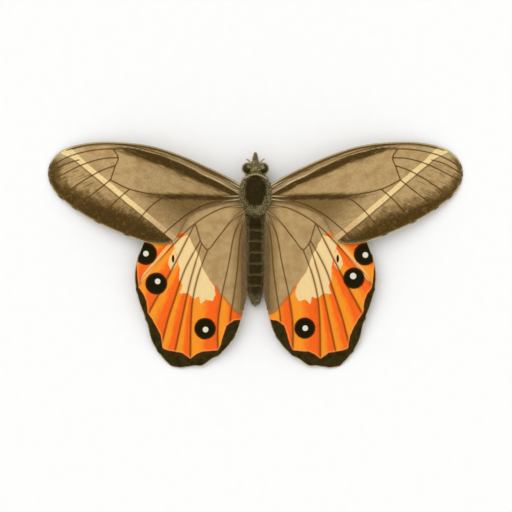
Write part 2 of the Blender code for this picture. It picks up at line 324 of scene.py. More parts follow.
# The long hairs at the hindwing's inner edge: that edge from rear to front, the rows beside it, their front
# end, their steps to the rear, and how far they stand above the wing's middle surface
INNER_Y = [-12.1, -9.0, -4.0, 8.0]
INNER_X = [2.75, 2.45, 2.5, 2.65]
INNER_ROWS = (0.0, 0.25, 0.6)
INNER_FRONT = 9.0
INNER_STEP = 0.47
INNER_STEPS = 45
INNER_RISE = 0.08
# The fur's way along the body, and the lowest and highest places of body fur and of the legs' bristles
FUR_BACK = (0.0, -1.0, 0.1)
FUR_LIMITS = (0.01, 6.92)
BRISTLE_LIMITS = (0.02, 6.9)
# The palp's radius at which its hairs have their full length
FULL_HAIR_RADIUS = 0.28

# The camera looks straight down: the width that it takes in, the middle of the picture and the height there
VIEW_WIDTH = 111.0
VIEW_AT = (0.13, -0.17)
VIEW_LEVEL = 1.8
LENS = 250.0
SENSOR = 36.0
FLOOR_REACH = 4000.0
FLOOR_LEVEL = -0.02
# The key light's turn about each axis in degrees
KEY_TURN = (-28.0, -24.0, 0.0)

# The share of the fringe's length at which the wing's sheet ends, and the heights of the fringe's two rows
FRINGE_HOLD = 0.8
FRINGE_ROWS = (0.03, -0.03)
# The rings of a tube's rounded end, and the points round a body form
CAP_RINGS = 3
SKIN_ROUND = 48
SIDES = {"right": 1, "left": -1}


def srgb(red, green, blue):
    """A colour given in the 0 to 255 steps of a screen, as the linear values that Blender works in."""
    parts = [step / 255 for step in (red, green, blue)]
    return tuple(part / 12.92 if part <= 0.04045 else ((part + 0.055) / 1.055) ** 2.4 for part in parts)


def clamp(value, low=0.0, high=1.0):
    return np.minimum(np.maximum(value, low), high)


def ramp(value, start, end):
    """0 before the start and 1 past the end, with a smooth step between them."""
    share = clamp((value - start) / (end - start))
    return share * share * (3 - 2 * share)


def wing_height(x, y):
    """Height of the forewing's middle surface, and of the hindwing's before it is dropped below it."""
    tip = TIP_DROOP * (np.abs(x) / HALF_SPAN) ** 2
    front = FRONT_DROOP * clamp((y - FRONT_FROM) / FRONT_REACH) ** 2
    rear = REAR_DROOP * clamp((REAR_FROM - y) / REAR_REACH) ** REAR_POWER
    beside_body = clamp((BODY_EDGE + GUTTER_WIDTH - np.abs(x)) / GUTTER_WIDTH) ** 2
    gutter = GUTTER_DROOP * beside_body * clamp((GUTTER_FROM - y) / GUTTER_REACH)
    return WING_LEVEL - tip - front - rear - gutter


def relief(points, vein_gap):
    """How far the membrane rises above the wing's middle surface."""
    ripple = np.array([noise.noise(Vector((x / RIPPLE_LENGTH, y / RIPPLE_LENGTH, 3.1))) for x, y in points])
    return RIDGE_HEIGHT * np.exp(-((vein_gap / RIDGE_WIDTH) ** 2)) - RELIEF_DROP + RIPPLE_HEIGHT * ripple


def surface_height(sections, x, y):
    """Height of the top of a body form at a place."""
    table = np.array(sections)
    half_width, top, _, widest = (np.interp(y, table[:, 0], table[:, k]) for k in range(1, 5))
    return widest + (top - widest) * math.sqrt(max(1 - (x / half_width) ** 2, 0.0))


def smooth_through(points, step):
    """Points about step apart along one smooth curve through points of any dimension."""
    points = [Vector(p) for p in points]
    slopes = []
    for i, here in enumerate(points):
        before = points[max(i - 1, 0)]
        after = points[min(i + 1, len(points) - 1)]
        slopes.append((after - before) / ((after - here).length + (here - before).length))
    made = []
    for i, start in enumerate(points[:-1]):
        end = points[i + 1]
        length = (end - start).length
        count = max(1, round(length / step))
        for k in range(count):
            t = k / count
            place = start * (1 + 2 * t) * (1 - t) ** 2 + end * t * t * (3 - 2 * t)
            made.append(place + (slopes[i] * t * (1 - t) ** 2 - slopes[i + 1] * t * t * (1 - t)) * length)
    return [*made, points[-1]]


def trace(path, step):
    """The x and y of points along a smooth curve."""
    return np.array([tuple(p)[:2] for p in smooth_through(path, step)])


def distance_to(points, path, closed=False):
    """Distance from each point to a path, and how far along the path the nearest place is."""
    starts = np.array(path, float)
    ends = np.roll(starts, -1, axis=0)
    if not closed:
        starts, ends = starts[:-1], ends[:-1]
    steps = ends - starts
    lengths = np.linalg.norm(steps, axis=1)
    offsets = points[:, None] - starts
    share = clamp((offsets * steps).sum(axis=2) / lengths**2)
    gaps = np.linalg.norm(offsets - share[..., None] * steps, axis=2)
    nearest = gaps.argmin(axis=1)
    rows = np.arange(len(points))
    before = np.concatenate([[0.0], np.cumsum(lengths)])
    return gaps[rows, nearest], before[nearest] + share[rows, nearest] * lengths[nearest]


def depth_inside(points, loop):
    """Distance to a closed outline, above zero inside it and below zero outside."""
    gap, _ = distance_to(points, loop, closed=True)
    starts = np.array(loop, float)
    ends = np.roll(starts, -1, axis=0)
    x, y = points[:, :1], points[:, 1:2]
    spans = (starts[:, 1] > y) != (ends[:, 1] > y)
    rise = np.where(ends[:, 1] == starts[:, 1], 1.0, ends[:, 1] - starts[:, 1])
    crossing = starts[:, 0] + (ends[:, 0] - starts[:, 0]) * (y - starts[:, 1]) / rise
    return np.where((spans & (x < crossing)).sum(axis=1) % 2 == 1, gap, -gap)


def placed(name, data):
    """A new object at the origin of the scene."""
    made = bpy.data.objects.new(name, data)
    bpy.context.scene.collection.objects.link(made)
    return made


def mesh_object(name, points, faces, materials, smooth=True):
    """An object at the origin from points in millimetres."""
    mesh = bpy.data.meshes.new(name)
    mesh.from_pydata(np.asarray(points, float) * MM, [], faces)
    for look in materials:
        mesh.materials.append(look)
    if smooth:
        mesh.shade_smooth()
    return placed(name, mesh)


def paths_object(name, paths, **values):
    """A wire object of paths, with the numbers after x, y and z kept as each point's radius."""
    points, edges, radii = [], [], []
    for path in paths:
        start = len(points)
        points += [tuple(p)[:3] for p in path]
        radii += [p[3] if len(p) > 3 else 1.0 for p in path]
        edges += [(start + i, start + i + 1) for i in range(len(path) - 1)]
    mesh = bpy.data.meshes.new(name)
    mesh.from_pydata(np.array(points, float) * MM, edges, [])
    made = placed(name, mesh)
    keep_values(made, thickness=np.array(radii) * MM, **values)
    return made


def keep_values(made, **values):
    """Stores a number or a vector at each point of a mesh."""
    for name, numbers in values.items():
        numbers = np.asarray(numbers, np.float32)
        is_vector = numbers.ndim == 2
        kept = made.data.attributes.new(name, "FLOAT_VECTOR" if is_vector else "FLOAT", "POINT")
        kept.data.foreach_set("vector" if is_vector else "value", numbers.ravel())


def read_points(piece, kind="co"):
    """The places or the normals of a mesh's points, one in each row."""
    values = np.empty(len(piece.data.vertices) * 3, np.float32)
    piece.data.vertices.foreach_get(kind, values)
    return values.reshape(-1, 3)


def keep_within(piece, low, high):
    """Moves the points of a piece that pass a height limit back to it, as where fur is pressed flat."""
    places = read_points(piece)
    places[:, 2] = np.clip(places[:, 2], low * MM, high * MM)
    piece.data.vertices.foreach_set("co", places.ravel())
    piece.data.update()


def turn_outwards(made):
    shape = bmesh.new()
    shape.from_mesh(made.data)
    bmesh.ops.recalc_face_normals(shape, faces=shape.faces)
    shape.to_mesh(made.data)
    shape.free()


def tube_faces(first, end, around):
    """The faces of a closed tube whose rings of points follow one another."""
    faces = [list(range(first, first + around))[::-1], list(range(end - around, end))]
    for start in range(first, end - around, around):
        for k in range(around):
            after = (k + 1) % around
            faces.append((start + k, start + after, start + around + after, start + around + k))
    return faces


def finish_piece(piece, node):
    """Attaches a finished piece to the root body and hides the imported part that it stands for."""
    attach(piece, "root")
    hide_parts(node)


class Value:
    """A number or vector on its way through a node tree, for sums that are written as expressions."""

    def __init__(self, owner, socket):
        self.owner = owner
        self.socket = socket

    def math(self, operation, *others):
        return self.owner.node("ShaderNodeMath", dict(enumerate((self, *others))), operation=operation)

    __add__ = partialmethod(math, "ADD")
    __sub__ = partialmethod(math, "SUBTRACT")
    __mul__ = partialmethod(math, "MULTIPLY")
    __truediv__ = partialmethod(math, "DIVIDE")
    __pow__ = partialmethod(math, "POWER")
    __abs__ = partialmethod(math, "ABSOLUTE")
    highest = partialmethod(math, "MAXIMUM")

    def __rsub__(self, other):
        return self.owner.node("ShaderNodeMath", {0: other, 1: self}, operation="SUBTRACT")

    def stepped(self, start, end, before, after):
        """One number below the start and another above the end, with a smooth step between them."""
        inputs = {0: self, 1: start, 2: end, 3: before, 4: after}
        return self.owner.node("ShaderNodeMapRange", inputs, interpolation_type="SMOOTHSTEP")

    rising = partialmethod(stepped, before=0.0, after=1.0)
    falling = partialmethod(stepped, before=1.0, after=0.0)

    def twin(self, output):
        """Another output of the same node."""
        return Value(self.owner, self.socket.node.outputs[output])


class Nodes:
    """A node tree and the ways to add to it."""

    def connect(self, value, socket):
        if isinstance(value, Value):
            self.tree.links.new(value.socket, socket)
        elif socket.type == "RGBA":
            socket.default_value = (*value, 1.0)
        else:
            socket.default_value = value

    def node(self, kind, inputs, output=0, **settings):
        """A node of any type with the values or links of its sockets and its settings."""
        made = self.tree.nodes.new(kind)
        for key, value in settings.items():
            setattr(made, key, value)
        for key, value in inputs.items():
            self.connect(value, made.inputs[key])
        return Value(self, made.outputs[output])

    def vector(self, operation, *vectors, **inputs):
        inputs.update(enumerate(vectors))
        return self.node("ShaderNodeVectorMath", inputs, operation=operation)


class Shader(Nodes):
    """One procedural material, painted in layers of colour."""

    def __init__(self, name, colour, roughness, specular=0.3, coat=0.0):
        self.material = bpy.data.materials.new(name)
        self.material.use_nodes = True
        self.tree = self.material.node_tree
        self.surface = self.tree.nodes["Principled BSDF"]
        self.colour = colour
        self.set("Roughness", roughness)
        self.set("Specular IOR Level", specular)
        self.set("Coat Weight", coat)
        place = self.node("ShaderNodeTexCoord", {}, "Object")
        self.place = self.vector("SCALE", place, Scale=1 / MM)

    def set(self, name, value):
        self.connect(value, self.surface.inputs[name])

    def axes(self):
        """The x, y and z of the place on the object, in millimetres."""
        x = self.node("ShaderNodeSeparateXYZ", {0: self.place})
        return x, x.twin("Y"), x.twin("Z")

    def kept(self, name):
        """A number stored at the mesh's points."""
        return self.node("ShaderNodeAttribute", {}, "Fac", attribute_name=name)

    def noise(self, scale, detail=2.0, roughness=0.5, place=None):
        inputs = {"Vector": place or self.place, "Scale": scale, "Detail": detail, "Roughness": roughness}
        return self.node("ShaderNodeTexNoise", inputs)

    def stretched(self, place, turn, scale):
        """A place for a pattern with a grain: its turn in degrees, and the grain's length and width."""
        inputs = {"Vector": place, "Rotation": (0.0, 0.0, math.radians(turn)), "Scale": (*scale, 1.0)}
        return self.node("ShaderNodeMapping", inputs, vector_type="TEXTURE")

    def scale_rows(self, place, turn):
        """The tiny overlapping scales of a wing: a height for bump and a shade for colour."""
        rows = self.stretched(place, turn, (0.19, 0.095))
        height = self.node("ShaderNodeTexVoronoi", {"Vector": rows, "Scale": 1.0}, feature="F1")
        return height, self.noise(7.0, 3.0, 0.65, place)

    def mix(self, first, second, share):
        """The second colour over the first by a share from 0 to 1."""
        inputs = {0: share, 6: first, 7: second}
        return self.node("ShaderNodeMix", inputs, 2, data_type="RGBA", clamp_factor=True)

    def paint(self, colour, share):
        """Another colour over what is painted so far, by a share from 0 to 1."""
        self.colour = self.mix(self.colour, colour, share)

    def shade(self, amount):
        """Makes what is painted so far lighter or darker by an amount that varies about 1."""
        self.colour = self.vector("SCALE", self.colour, Scale=amount)

    def spot(self, x, y, centre, radius, blur):
        """1 inside a round spot, with a soft rim."""
        away = ((x - centre[0]) ** 2.0 + (y - centre[1]) ** 2.0) ** 0.5
        return away.falling(radius - blur, radius + blur)

    def finish(self, height, strength, distance):
        """The material with its colour in place, and with bump from a height."""
        self.set("Base Color", self.colour)
        inputs = {"Height": height, "Strength": strength, "Distance": distance * MM}
        self.set("Normal", self.node("ShaderNodeBump", inputs))
        return self.material

    def finish_wing(self, wings, fade, height, grain, roughness):
        self.paint(wings.under, fade)
        self.set("Roughness", grain * 0.2 + roughness)
        return self.finish(height * 0.6 + grain, 0.5, 0.06)


class Growth(Nodes):
    """One Geometry Nodes tree that grows small shapes on paths or surfaces, with its inputs by name."""

    def __init__(self, name, **inputs):
        self.tree = bpy.data.node_groups.new(name, "GeometryNodeTree")
        self.values = {}
        sockets = self.tree.interface
        sockets.new_socket("Geometry", in_out="INPUT", socket_type="NodeSocketGeometry")
        for label, value in inputs.items():
            kind = "NodeSocketInt" if isinstance(value, int) else "NodeSocketFloat"
            self.values[sockets.new_socket(label, in_out="INPUT", socket_type=kind).identifier] = value
        sockets.new_socket("Geometry", in_out="OUTPUT", socket_type="NodeSocketGeometry")
        self.entry = self.tree.nodes.new("NodeGroupInput")
        self.exit = self.tree.nodes.new("NodeGroupOutput")

    def given(self, label):
        return Value(self, self.entry.outputs[label])

    def kept(self, name, kind="FLOAT"):
        """A number or vector stored at the points."""
        return self.node("GeometryNodeInputNamedAttribute", {"Name": name}, data_type=kind)

    def random(self, low, high, seed):
        """A number between two bounds, different at each point."""
        return self.node("FunctionNodeRandomValue", {2: low, 3: high, "Seed": seed}, 1, data_type="FLOAT")

    def random_way(self, bound, seed):
        """A vector within a bound to both sides along each axis, different at each point."""
        inputs = {0: tuple(-b for b in bound), 1: bound, "Seed": seed}
        return self.node("FunctionNodeRandomValue", inputs, data_type="FLOAT_VECTOR")

    def line(self, spacing=None):
        """The paths as curves, with points at even steps where a spacing is given."""
        curve = self.node("GeometryNodeMeshToCurve", {"Mesh": self.given("Geometry")})
        if spacing is None:
            return curve
        return self.node("GeometryNodeResampleCurve", {"Curve": curve, "Length": spacing}, mode="LENGTH")

    def swept(self, line, sides, width):
        """A round tube of a varying width along a curve."""
        ring = self.node("GeometryNodeCurvePrimitiveCircle", {"Resolution": sides, "Radius": 1.0})
        inputs = {"Curve": line, "Profile Curve": ring, "Scale": width, "Fill Caps": True}
        return self.node("GeometryNodeCurveToMesh", inputs)

    def strand(self, bend):
        """One bent and tapering hair of length 1 that stands on its root."""
        thinness = self.given("Thickness") / self.given("Length") * 0.5
        tip = self.node("ShaderNodeCombineXYZ", {"Y": bend, "Z": 1.0})
        inputs = {"Resolution": 3, "Start": (0.0, 0.0, 0.0), "Middle": (0.0, 0.0, 0.55), "End": tip}
        line = self.node("GeometryNodeCurveQuadraticBezier", inputs)
        along = self.node("GeometryNodeSplineParameter", {})
        return self.swept(line, 3, (1.03 - along**1.6) * thinness)

    def blade(self):
        """One flat closed scale of length 1 and width 1, widest past its middle."""
        inputs = {"Vertices": 4, "Side Segments": 2, "Fill Segments": 1}
        inputs.update({"Radius Top": 0.46, "Radius Bottom": 0.2, "Depth": 1.0})
        cone = self.node("GeometryNodeMeshCone", inputs)
        return self.node("GeometryNodeTransform", {"Geometry": cone, "Scale": (1.0, 0.3, 1.0)})

    def plant(self, points, shape, direction, up, scale, seed):
        """A copy of the shape on each point, along a direction and facing up, with a shade of its own."""
        inputs = {"Primary Axis": direction, "Secondary Axis": up}
        turn = self.node("FunctionNodeAxesToRotation", inputs, primary_axis="Z", secondary_axis="Y")
        inputs = {"Points": points, "Instance": shape, "Rotation": turn, "Scale": scale}
        grown = self.node("GeometryNodeInstanceOnPoints", inputs)
        inputs = {"Geometry": grown, "Name": "shade", "Value": self.random(0.0, 1.0, seed)}
        return self.node("GeometryNodeStoreNamedAttribute", inputs, data_type="FLOAT", domain="INSTANCE")

    def run(self, base, geometry, look, name):
        """Ends the tree, runs it on an object and gives the result as a plain mesh object."""
        real = self.node("GeometryNodeRealizeInstances", {"Geometry": geometry})
        done = self.node("GeometryNodeSetMaterial", {"Geometry": real, "Material": look})
        self.connect(done, self.exit.inputs[0])
        modifier = base.modifiers.new(name, "NODES")
        modifier.node_group = self.tree
        for identifier, value in self.values.items():
            modifier[identifier] = value
        view = bpy.context.evaluated_depsgraph_get()
        mesh = bpy.data.meshes.new_from_object(base.evaluated_get(view), depsgraph=view)
        base.modifiers.remove(modifier)
        bpy.data.objects.remove(base)
        mesh.name = name
        return placed(name, mesh)


class Form:
    """Tubes that are gathered into one mesh, with a number kept at each point for rings and joints."""

    def __init__(self):
        self.points = []
        self.faces = []
        self.rings = []

    def tube(self, route, step=0.06, around=16, shape=None):
        """Adds a closed round tube along points of x, y, z and radius.

        The shape gives a factor for the radius and a ring from 0 to 1 for each share of the way.
        """
        route = smooth_through(route, step)
        centres = [Vector(p[:3]) for p in route]
        last = len(centres) - 1
        first_point = len(self.points)
        across = None
        for i, here in enumerate(centres):
            way = (centres[min(i + 1, last)] - centres[max(i - 1, 0)]).normalized()
            across = across - way * across.dot(way) if across else way.orthogonal()
            across.normalize()
            third = way.cross(across)
            factor, ring = shape(i / last) if shape else (1.0, 0.0)
            from_end = min(i, last - i, CAP_RINGS) / CAP_RINGS
            reach = route[i][3] * factor * math.sqrt(max(1 - (1 - from_end) ** 2, 0.04))
            for k in range(around):
                angle = 2 * math.pi * k / around
                self.points.append(here + (across * math.cos(angle) + third * math.sin(angle)) * reach)
                self.rings.append(ring)
        self.faces += tube_faces(first_point, len(self.points), around)

    def make(self, name, look):
        made = mesh_object(name, [tuple(p) for p in self.points], self.faces, [look])
        keep_values(made, ring=self.rings)
        turn_outwards(made)
        return made


def forewing_look(name, wings, fade):
    """Tan wing with a cream band, dark stripes along two veins and a mottled brown margin."""
    shader = Shader(name, wings.tan, 0.8, specular=WING_GLOSS)
    raw_x, y, _ = shader.axes()
    x = abs(raw_x)
    warp = shader.noise(0.55, 3.0) - 0.5
    fine = shader.noise(2.3, 3.0, 0.6) - 0.5
    speckle = shader.noise(3.4, 4.0, 0.7) - 0.5
    mottle = shader.noise(0.75, 5.0, 0.62) - 0.5
    cloud = shader.noise(1.7, 4.0, 0.6) - 0.5
    even = shader.node("ShaderNodeCombineXYZ", {"X": x, "Y": y, "Z": raw_x * 0.3})
    height, grain = shader.scale_rows(even, 20)
    flame = shader.noise(1.0, 3.0, 0.6, shader.stretched(even, 15, (5.0, 1.5)))
    streak = shader.noise(1.0, 2.0, 0.6, shader.stretched(even, -24, (4.0, 0.4))) - 0.5
    lines = shader.noise(1.0, 3.0, 0.65, shader.stretched(even, 22, (3.0, 0.4))) - 0.5
    fleck = shader.noise(1.0, 4.0, 0.7, shader.stretched(even, 10, (1.2, 0.3))) - 0.5

    blotch = shader.noise(0.42, 3.0, 0.55)
    shader.paint(wings.tan_shade, (flame * 0.6 + blotch * 0.4).rising(0.46, 0.6) * 0.65)
    shader.paint(wings.tan_shade, x.falling(5.0, 20.0) * 0.55)
    behind = shader.kept("behind")
    shaded = (behind + warp * 1.5 + fine).rising(-0.2, 1.0) * (x + behind).falling(17.0, 28.0)
    shader.paint(wings.brown, shaded)

    # How far along the cream band and out from its middle a place is. The right band starts nearer the root
    along = (x - BAND_FROM[0]) * BAND_WAY[0] + (y - BAND_FROM[1]) * BAND_WAY[1]
    beyond = (y - BAND_FROM[1]) * BAND_WAY[0] - (x - BAND_FROM[0]) * BAND_WAY[1] + warp * 0.22
    beyond = beyond + raw_x.rising(-1.0, 1.0) * along.falling(6.0, 20.0) * 0.4
    inner = along.falling(0.0, BAND_FLARE_LENGTH) * BAND_FLARE + BAND_HALF_WIDTH
    outer = along.falling(-1.5, BAND_WEDGE_LENGTH) * BAND_WEDGE + BAND_HALF_WIDTH
    edge = (beyond - outer).highest(0.0 - beyond - inner) + fine * 0.16
    outside = (beyond - outer).rising(0.0, 0.12)

    dusk = shader.kept("dusk")
    soft = along.rising(0.0, 11.0)
    near = (dusk + (mottle + streak * 0.5) * (soft * 4.5 + 2.5)).rising(soft * -2.1 - 0.7, 0.6) * 0.9
    far = (dusk + mottle * 4.0 + cloud * 3.0 + streak * 1.5).rising(-0.4, 1.7)
    dark = shader.mix(wings.dark, srgb(106, 82, 40), (cloud + mottle).rising(0.02, 0.26) * 0.85)
    shader.paint(wings.brown, near * outside)
    shader.paint(dark, far * outside * 0.95)
    shader.paint(srgb(104, 80, 42), abs(beyond - outer - 0.12).falling(0.05, 0.38) * 0.6)
    hatch = (streak + fine * 0.4).rising(0.02, 0.16) * outside * along.falling(6.0, 14.0)
    shader.paint(srgb(104, 84, 44), hatch * 0.55)
    wedge = (beyond - outer + fine).falling(-0.2, 3.0) * along.falling(-1.2, 3.6)
    shader.paint(srgb(218, 196, 142), wedge * 0.8)
    termen = shader.kept("termen")
    shader.paint(srgb(132, 112, 62), termen.falling(0.3, 0.75) * outside * 0.55)

    stripe = shader.kept("stripe")
    stripe = stripe + (lines * 1.1 + speckle * 0.4) * stripe.rising(0.0, 0.3)
    shader.paint(wings.brown, stripe.rising(0.05, 0.5) * 0.8)
    shader.paint(wings.dark, stripe.rising(0.3, 0.9) * 0.95)
    shaded = shaded.highest(stripe.rising(0.1, 0.5))
    shader.paint(srgb(172, 150, 104), fleck.rising(0.04, 0.2) * shaded * 0.25)
    shader.paint(wings.dark, fleck.falling(-0.2, -0.04) * shaded * 0.4)
    costal = shader.kept("costal")
    strip = shader.kept("strip")
    band = (strip + lines * 0.4).falling(0.42, 0.6) * costal.falling(1.1, 1.5)
    inside = along.rising(-1.0, 0.5).highest(beyond.falling(-1.2, -0.6))
    band = band.highest(costal.falling(0.6, 0.95) * 0.8) * inside
    shader.paint(srgb(98, 77, 40), band * 0.95)
    light = (strip + lines * 0.35).rising(0.5, 0.66) * strip.falling(0.92, 1.02) * x.falling(19.0, 22.0)
    shader.paint(srgb(158, 131, 90), light * 0.7)
    # Painted highlight: a pale line along the ridge just above the dark stripe, fading out away from the
    # root
    ridge_highlight = (strip + lines * 0.1).rising(0.76, 0.9) * strip.falling(1.0, 1.06) * x.falling(7.0, 20.0)
    shader.paint(srgb(218, 196, 150), ridge_highlight * 0.85)

    cream = shader.mix(wings.cream, srgb(214, 176, 124), along.rising(19.0, 27.0))
    shader.paint(cream, edge.falling(-0.07, 0.07))
    gap = shader.kept("vein_gap")
    clear = stripe.falling(0.3, 0.7) * (1.0 - strip.falling(0.98, 1.05) * x.falling(17.0, 22.0))
    # Near the root: painted shade round the veins, and over their colour a pale painted highlight along them
    root = x.falling(4.0, 8.0)
    shader.paint(wings.dark, gap.falling(0.2, 0.5) * root * 0.6)
    shader.paint(wings.vein, gap.falling(0.07, 0.23) * (clear * 0.7 + 0.2))
    shader.paint(srgb(206, 186, 140), gap.falling(0.08, 0.2) * root * 0.75)
    rim = (costal + fine * 0.2).falling(0.16, 0.4).highest(termen.falling(0.1, 0.2) * 0.6)
    shader.paint(srgb(204, 188, 140), rim * 0.85)
    left = raw_x.rising(-28.0, -22.0) * raw_x.falling(-5.0, 0.0) * -0.12
    shader.shade(left + 0.88 + grain * 0.12 + height * 0.06 + speckle * 0.6 + fine * 0.5)
    return shader.finish_wing(wings, fade, height, grain, 0.72)


def hindwing_look(name, wings, side, fade):
    """Orange wing in light and deep rays with eyespots, a cream patch and a dark scalloped border."""
    shader = Shader(name, wings.tan, 0.8, specular=WING_GLOSS)
    x, y, _ = shader.axes()
    x = abs(x)
    warp = shader.noise(0.9, 3.0) - 0.5
    fine = shader.noise(2.6, 3.0, 0.6) - 0.5
    height, grain = shader.scale_rows(shader.place, -70 * side)

    ray = shader.kept("ray")
    split = shader.node("ShaderNodeCombineXYZ", {"X": ray * 7.0, "Y": y * 0.35, "Z": x * 0.2})
    brush = shader.noise(1.0, 3.0, 0.6, split) - 0.5
    shader.paint(wings.tan_shade, shader.noise(0.5, 3.0).rising(0.3, 0.75) * 0.9)
    shader.paint(wings.brown, (x + fine).falling(3.0, 6.0) * 0.8)
    ray = (ray - 0.5) * side + 0.5 + fine * 0.2 + warp * 0.25 + brush * 0.2
    field = shader.mix(wings.deep_orange, wings.light_orange, ray.rising(0.35, 0.72))
    field = shader.mix(field, srgb(206, 84, 24), ray.falling(0.0, 0.2) * 0.45)
    orange = shader.kept("orange") + warp * 0.7
    shader.paint(field, orange.rising(-0.35, 0.4))
    shader.paint(srgb(158, 84, 34), abs(orange).falling(0.0, 0.5) * y.falling(-7.0, -6.0) * 0.5)
    cream = shader.kept("cream") + warp * 0.5 + fine * 0.3
    shader.paint(wings.cream, cream.rising(-0.08, 0.1))
    pale = shader.kept("pale_spot") + fine * 0.3
    shader.paint(srgb(246, 205, 140), pale.rising(-0.06, 0.08))
    across, up, half_width, half_length = SPOT_OVAL
    oval = (((x - across) / half_width) ** 2.0 + ((y - up) / half_length) ** 2.0) ** 0.5
    shader.paint(wings.spot, oval.falling(0.85, 1.15))

    vein = shader.mix(wings.vein, wings.vein_orange, orange.rising(-0.4, 0.2))
    gap = shader.kept("vein_gap")
    # Near the root: painted shade round the veins, and over their colour a pale painted highlight along them
    root = x.falling(3.5, 6.5) * y.rising(6.0, 8.0)
    shader.paint(wings.dark, gap.falling(0.2, 0.5) * root * 0.5)
    shader.paint(vein, gap.falling(0.1, 0.5) * orange.rising(0.0, 0.5) * 0.35)
    shader.paint(vein, gap.falling(0.08, 0.24) * 0.8)
    shader.paint(srgb(200, 180, 134), gap.falling(0.08, 0.2) * root * 0.45)
    streak = (shader.kept("streak") + fine * 0.25).rising(-0.05, 0.08)
    shader.paint(srgb(250, 184, 104), streak)
    shader.paint(vein, gap.falling(0.06, 0.18) * streak * 0.5)

    rings, pupils = [], []
    for across, up, radius, pupil_x, pupil_y, pupil in EYESPOTS[side]:
        place = (x + fine * 0.3, y + warp * 0.3, (across, up))
        shader.paint(srgb(80, 36, 8), shader.spot(*place, radius, 0.14))
        rings.append(shader.spot(*place, radius - 0.25, 0.25))
        pupils.append(shader.spot(x + fine * 0.12, y + fine * 0.12, (pupil_x, pupil_y), pupil, 0.07))
    shader.paint(wings.spot, reduce(Value.highest, rings))
    border = shader.kept("border") + warp * 0.25 + fine * 0.12
    shader.paint(srgb(252, 160, 82), border.falling(0.15, 0.45) * orange.rising(0.0, 0.5) * 0.5)
    edging = shader.mix(wings.border, wings.spot, shader.noise(0.8, 2.0).rising(0.4, 0.7) * 0.7)
    edging = shader.mix(edging, srgb(84, 42, 10), border.rising(-0.45, 0.0) * 0.6)
    shader.paint(edging, border.falling(-0.07, 0.1))
    shader.paint(wings.pupil, reduce(Value.highest, pupils))
    speckle = shader.noise(3.4, 4.0, 0.7) - 0.5
    shader.shade(grain * 0.06 + 0.93 + height * 0.05 + speckle * 0.16 + brush * 0.22)
    return shader.finish_wing(wings, fade, height, grain, 0.7)


def strand_look(name, dark, pale, roughness=0.75):
    """Hair or scales that each have a shade of their own between two colours."""
    shader = Shader(name, dark, roughness, specular=0.15)
    grain = shader.noise(5.0)
    shader.paint(pale, shader.kept("shade") * 0.75 + grain * 0.35)
    return shader.finish(grain, 0.3, 0.02)


def fringe_look(wings):
    """Pale fringe scales that are dark at the veins' ends."""
    shader = Shader("fringe", wings.fringe_pale, 0.75, specular=0.25)
    grain = shader.noise(5.0)
    shader.paint(wings.fringe_dark, shader.kept("check") * 0.8 + shader.kept("shade") * 0.3)
    shader.shade(grain * 0.3 + 0.85)
    return shader.finish(grain, 0.3, 0.02)


def body_look(body):
    """Fur that is dark along the back and tan at the sides, speckled with pale hairs."""
    shader = Shader("body fur", body.dark_fur, 0.85, specular=0.08)
    x, y, z = shader.axes()
    shade = shader.kept("shade")
    patch = shader.noise(1.1, 3.0)
    speckle = shader.noise(1.7, 3.0, 0.7)
    wander = patch - 0.5
    shield = ((x / 2.35) ** 2.0 + ((y - 14.0) / 3.7) ** 2.0) ** 0.5 + wander * 0.45
    waist = y + wander * 2.0
    thorax = shield.rising(0.82, 1.12) * waist.rising(7.6, 9.6)
    abdomen = (abs(x) + wander * 0.8).rising(1.0, 1.9) * 0.8 * waist.falling(7.6, 9.6)
    sides = thorax.highest(abdomen).highest(z.falling(2.4, 3.6))
    sides = sides.highest((y + wander * 0.4).rising(17.5, 17.9))
    clump = shader.noise(3.2, 3.0, 0.65).rising(0.38, 0.64)
    light = shader.mix(srgb(62, 50, 25), body.tan_fur, clump * 0.6 + shade * 0.3)
    shader.paint(srgb(104, 88, 48), clump * speckle.rising(0.45, 0.65) * (shade * 0.6 + 0.2))
    shader.paint(light, sides)
    ring = (ABDOMEN[-1][0] - y + wander * 0.6 - x * x * 0.06) / ABDOMEN_SEGMENT
    shader.paint(srgb(132, 112, 68), ring.math("FRACT").rising(0.7, 0.95) * y.falling(6.4, 7.0) * 0.35)
    shader.shade(shade * 0.3 + 0.9 + y.rising(17.7, 18.2) * 0.25)
    shader.set("Roughness", patch * 0.2 + 0.75)
    return shader.finish(speckle, 0.4, 0.05)


def horn_look(name, colour, shade, pale, rings):
    """Dry horny skin of limbs with joints, rings and a satin shine."""
    shader = Shader(name, colour, 0.45, specular=0.4, coat=0.1)
    grain = shader.noise(2.5, 4.0, 0.6)
    shader.paint(shade, grain.rising(0.35, 0.65))
    shader.paint(pale, shader.kept("ring").rising(0.55, 0.9) * rings)
    shader.set("Roughness", grain * 0.25 + 0.38)
    return shader.finish(grain, 0.4, 0.03)


def eye_look(body):
    """Dark satin facets, a pale painted highlight at each eye's upper front, and the facets' rims a shade
    lighter.
    """
    shader = Shader("eye", body.eye, 0.36, specular=0.12)
    x, y, z = shader.axes()
    grain = shader.noise(1.6, 3.0)
    # Painted highlight: a pale patch on the upper front of each eye
    away = (((abs(x) - 1.5) / 0.5) ** 2.0 + ((y - 19.15) / 0.42) ** 2.0) ** 0.5 + (grain - 0.5) * 2.0
    shader.paint(srgb(158, 154, 106), away.falling(0.6, 1.25) * z.rising(3.4, 4.0) * 0.7)
    shader.paint(srgb(84, 66, 30), shader.kept("rim") * 0.3)
    shader.set("Roughness", grain * 0.16 + 0.26)
    return shader.finish(grain, 0.1, 0.02)


def floor_look(stage):
    """Matt white paper."""
    shader = Shader("floor", stage.floor, 0.9, specular=0.1)
    paper = shader.noise(0.4, 3.0)
    shader.paint(srgb(250, 250, 248), paper)
    return shader.finish(paper, 0.05, 0.05)


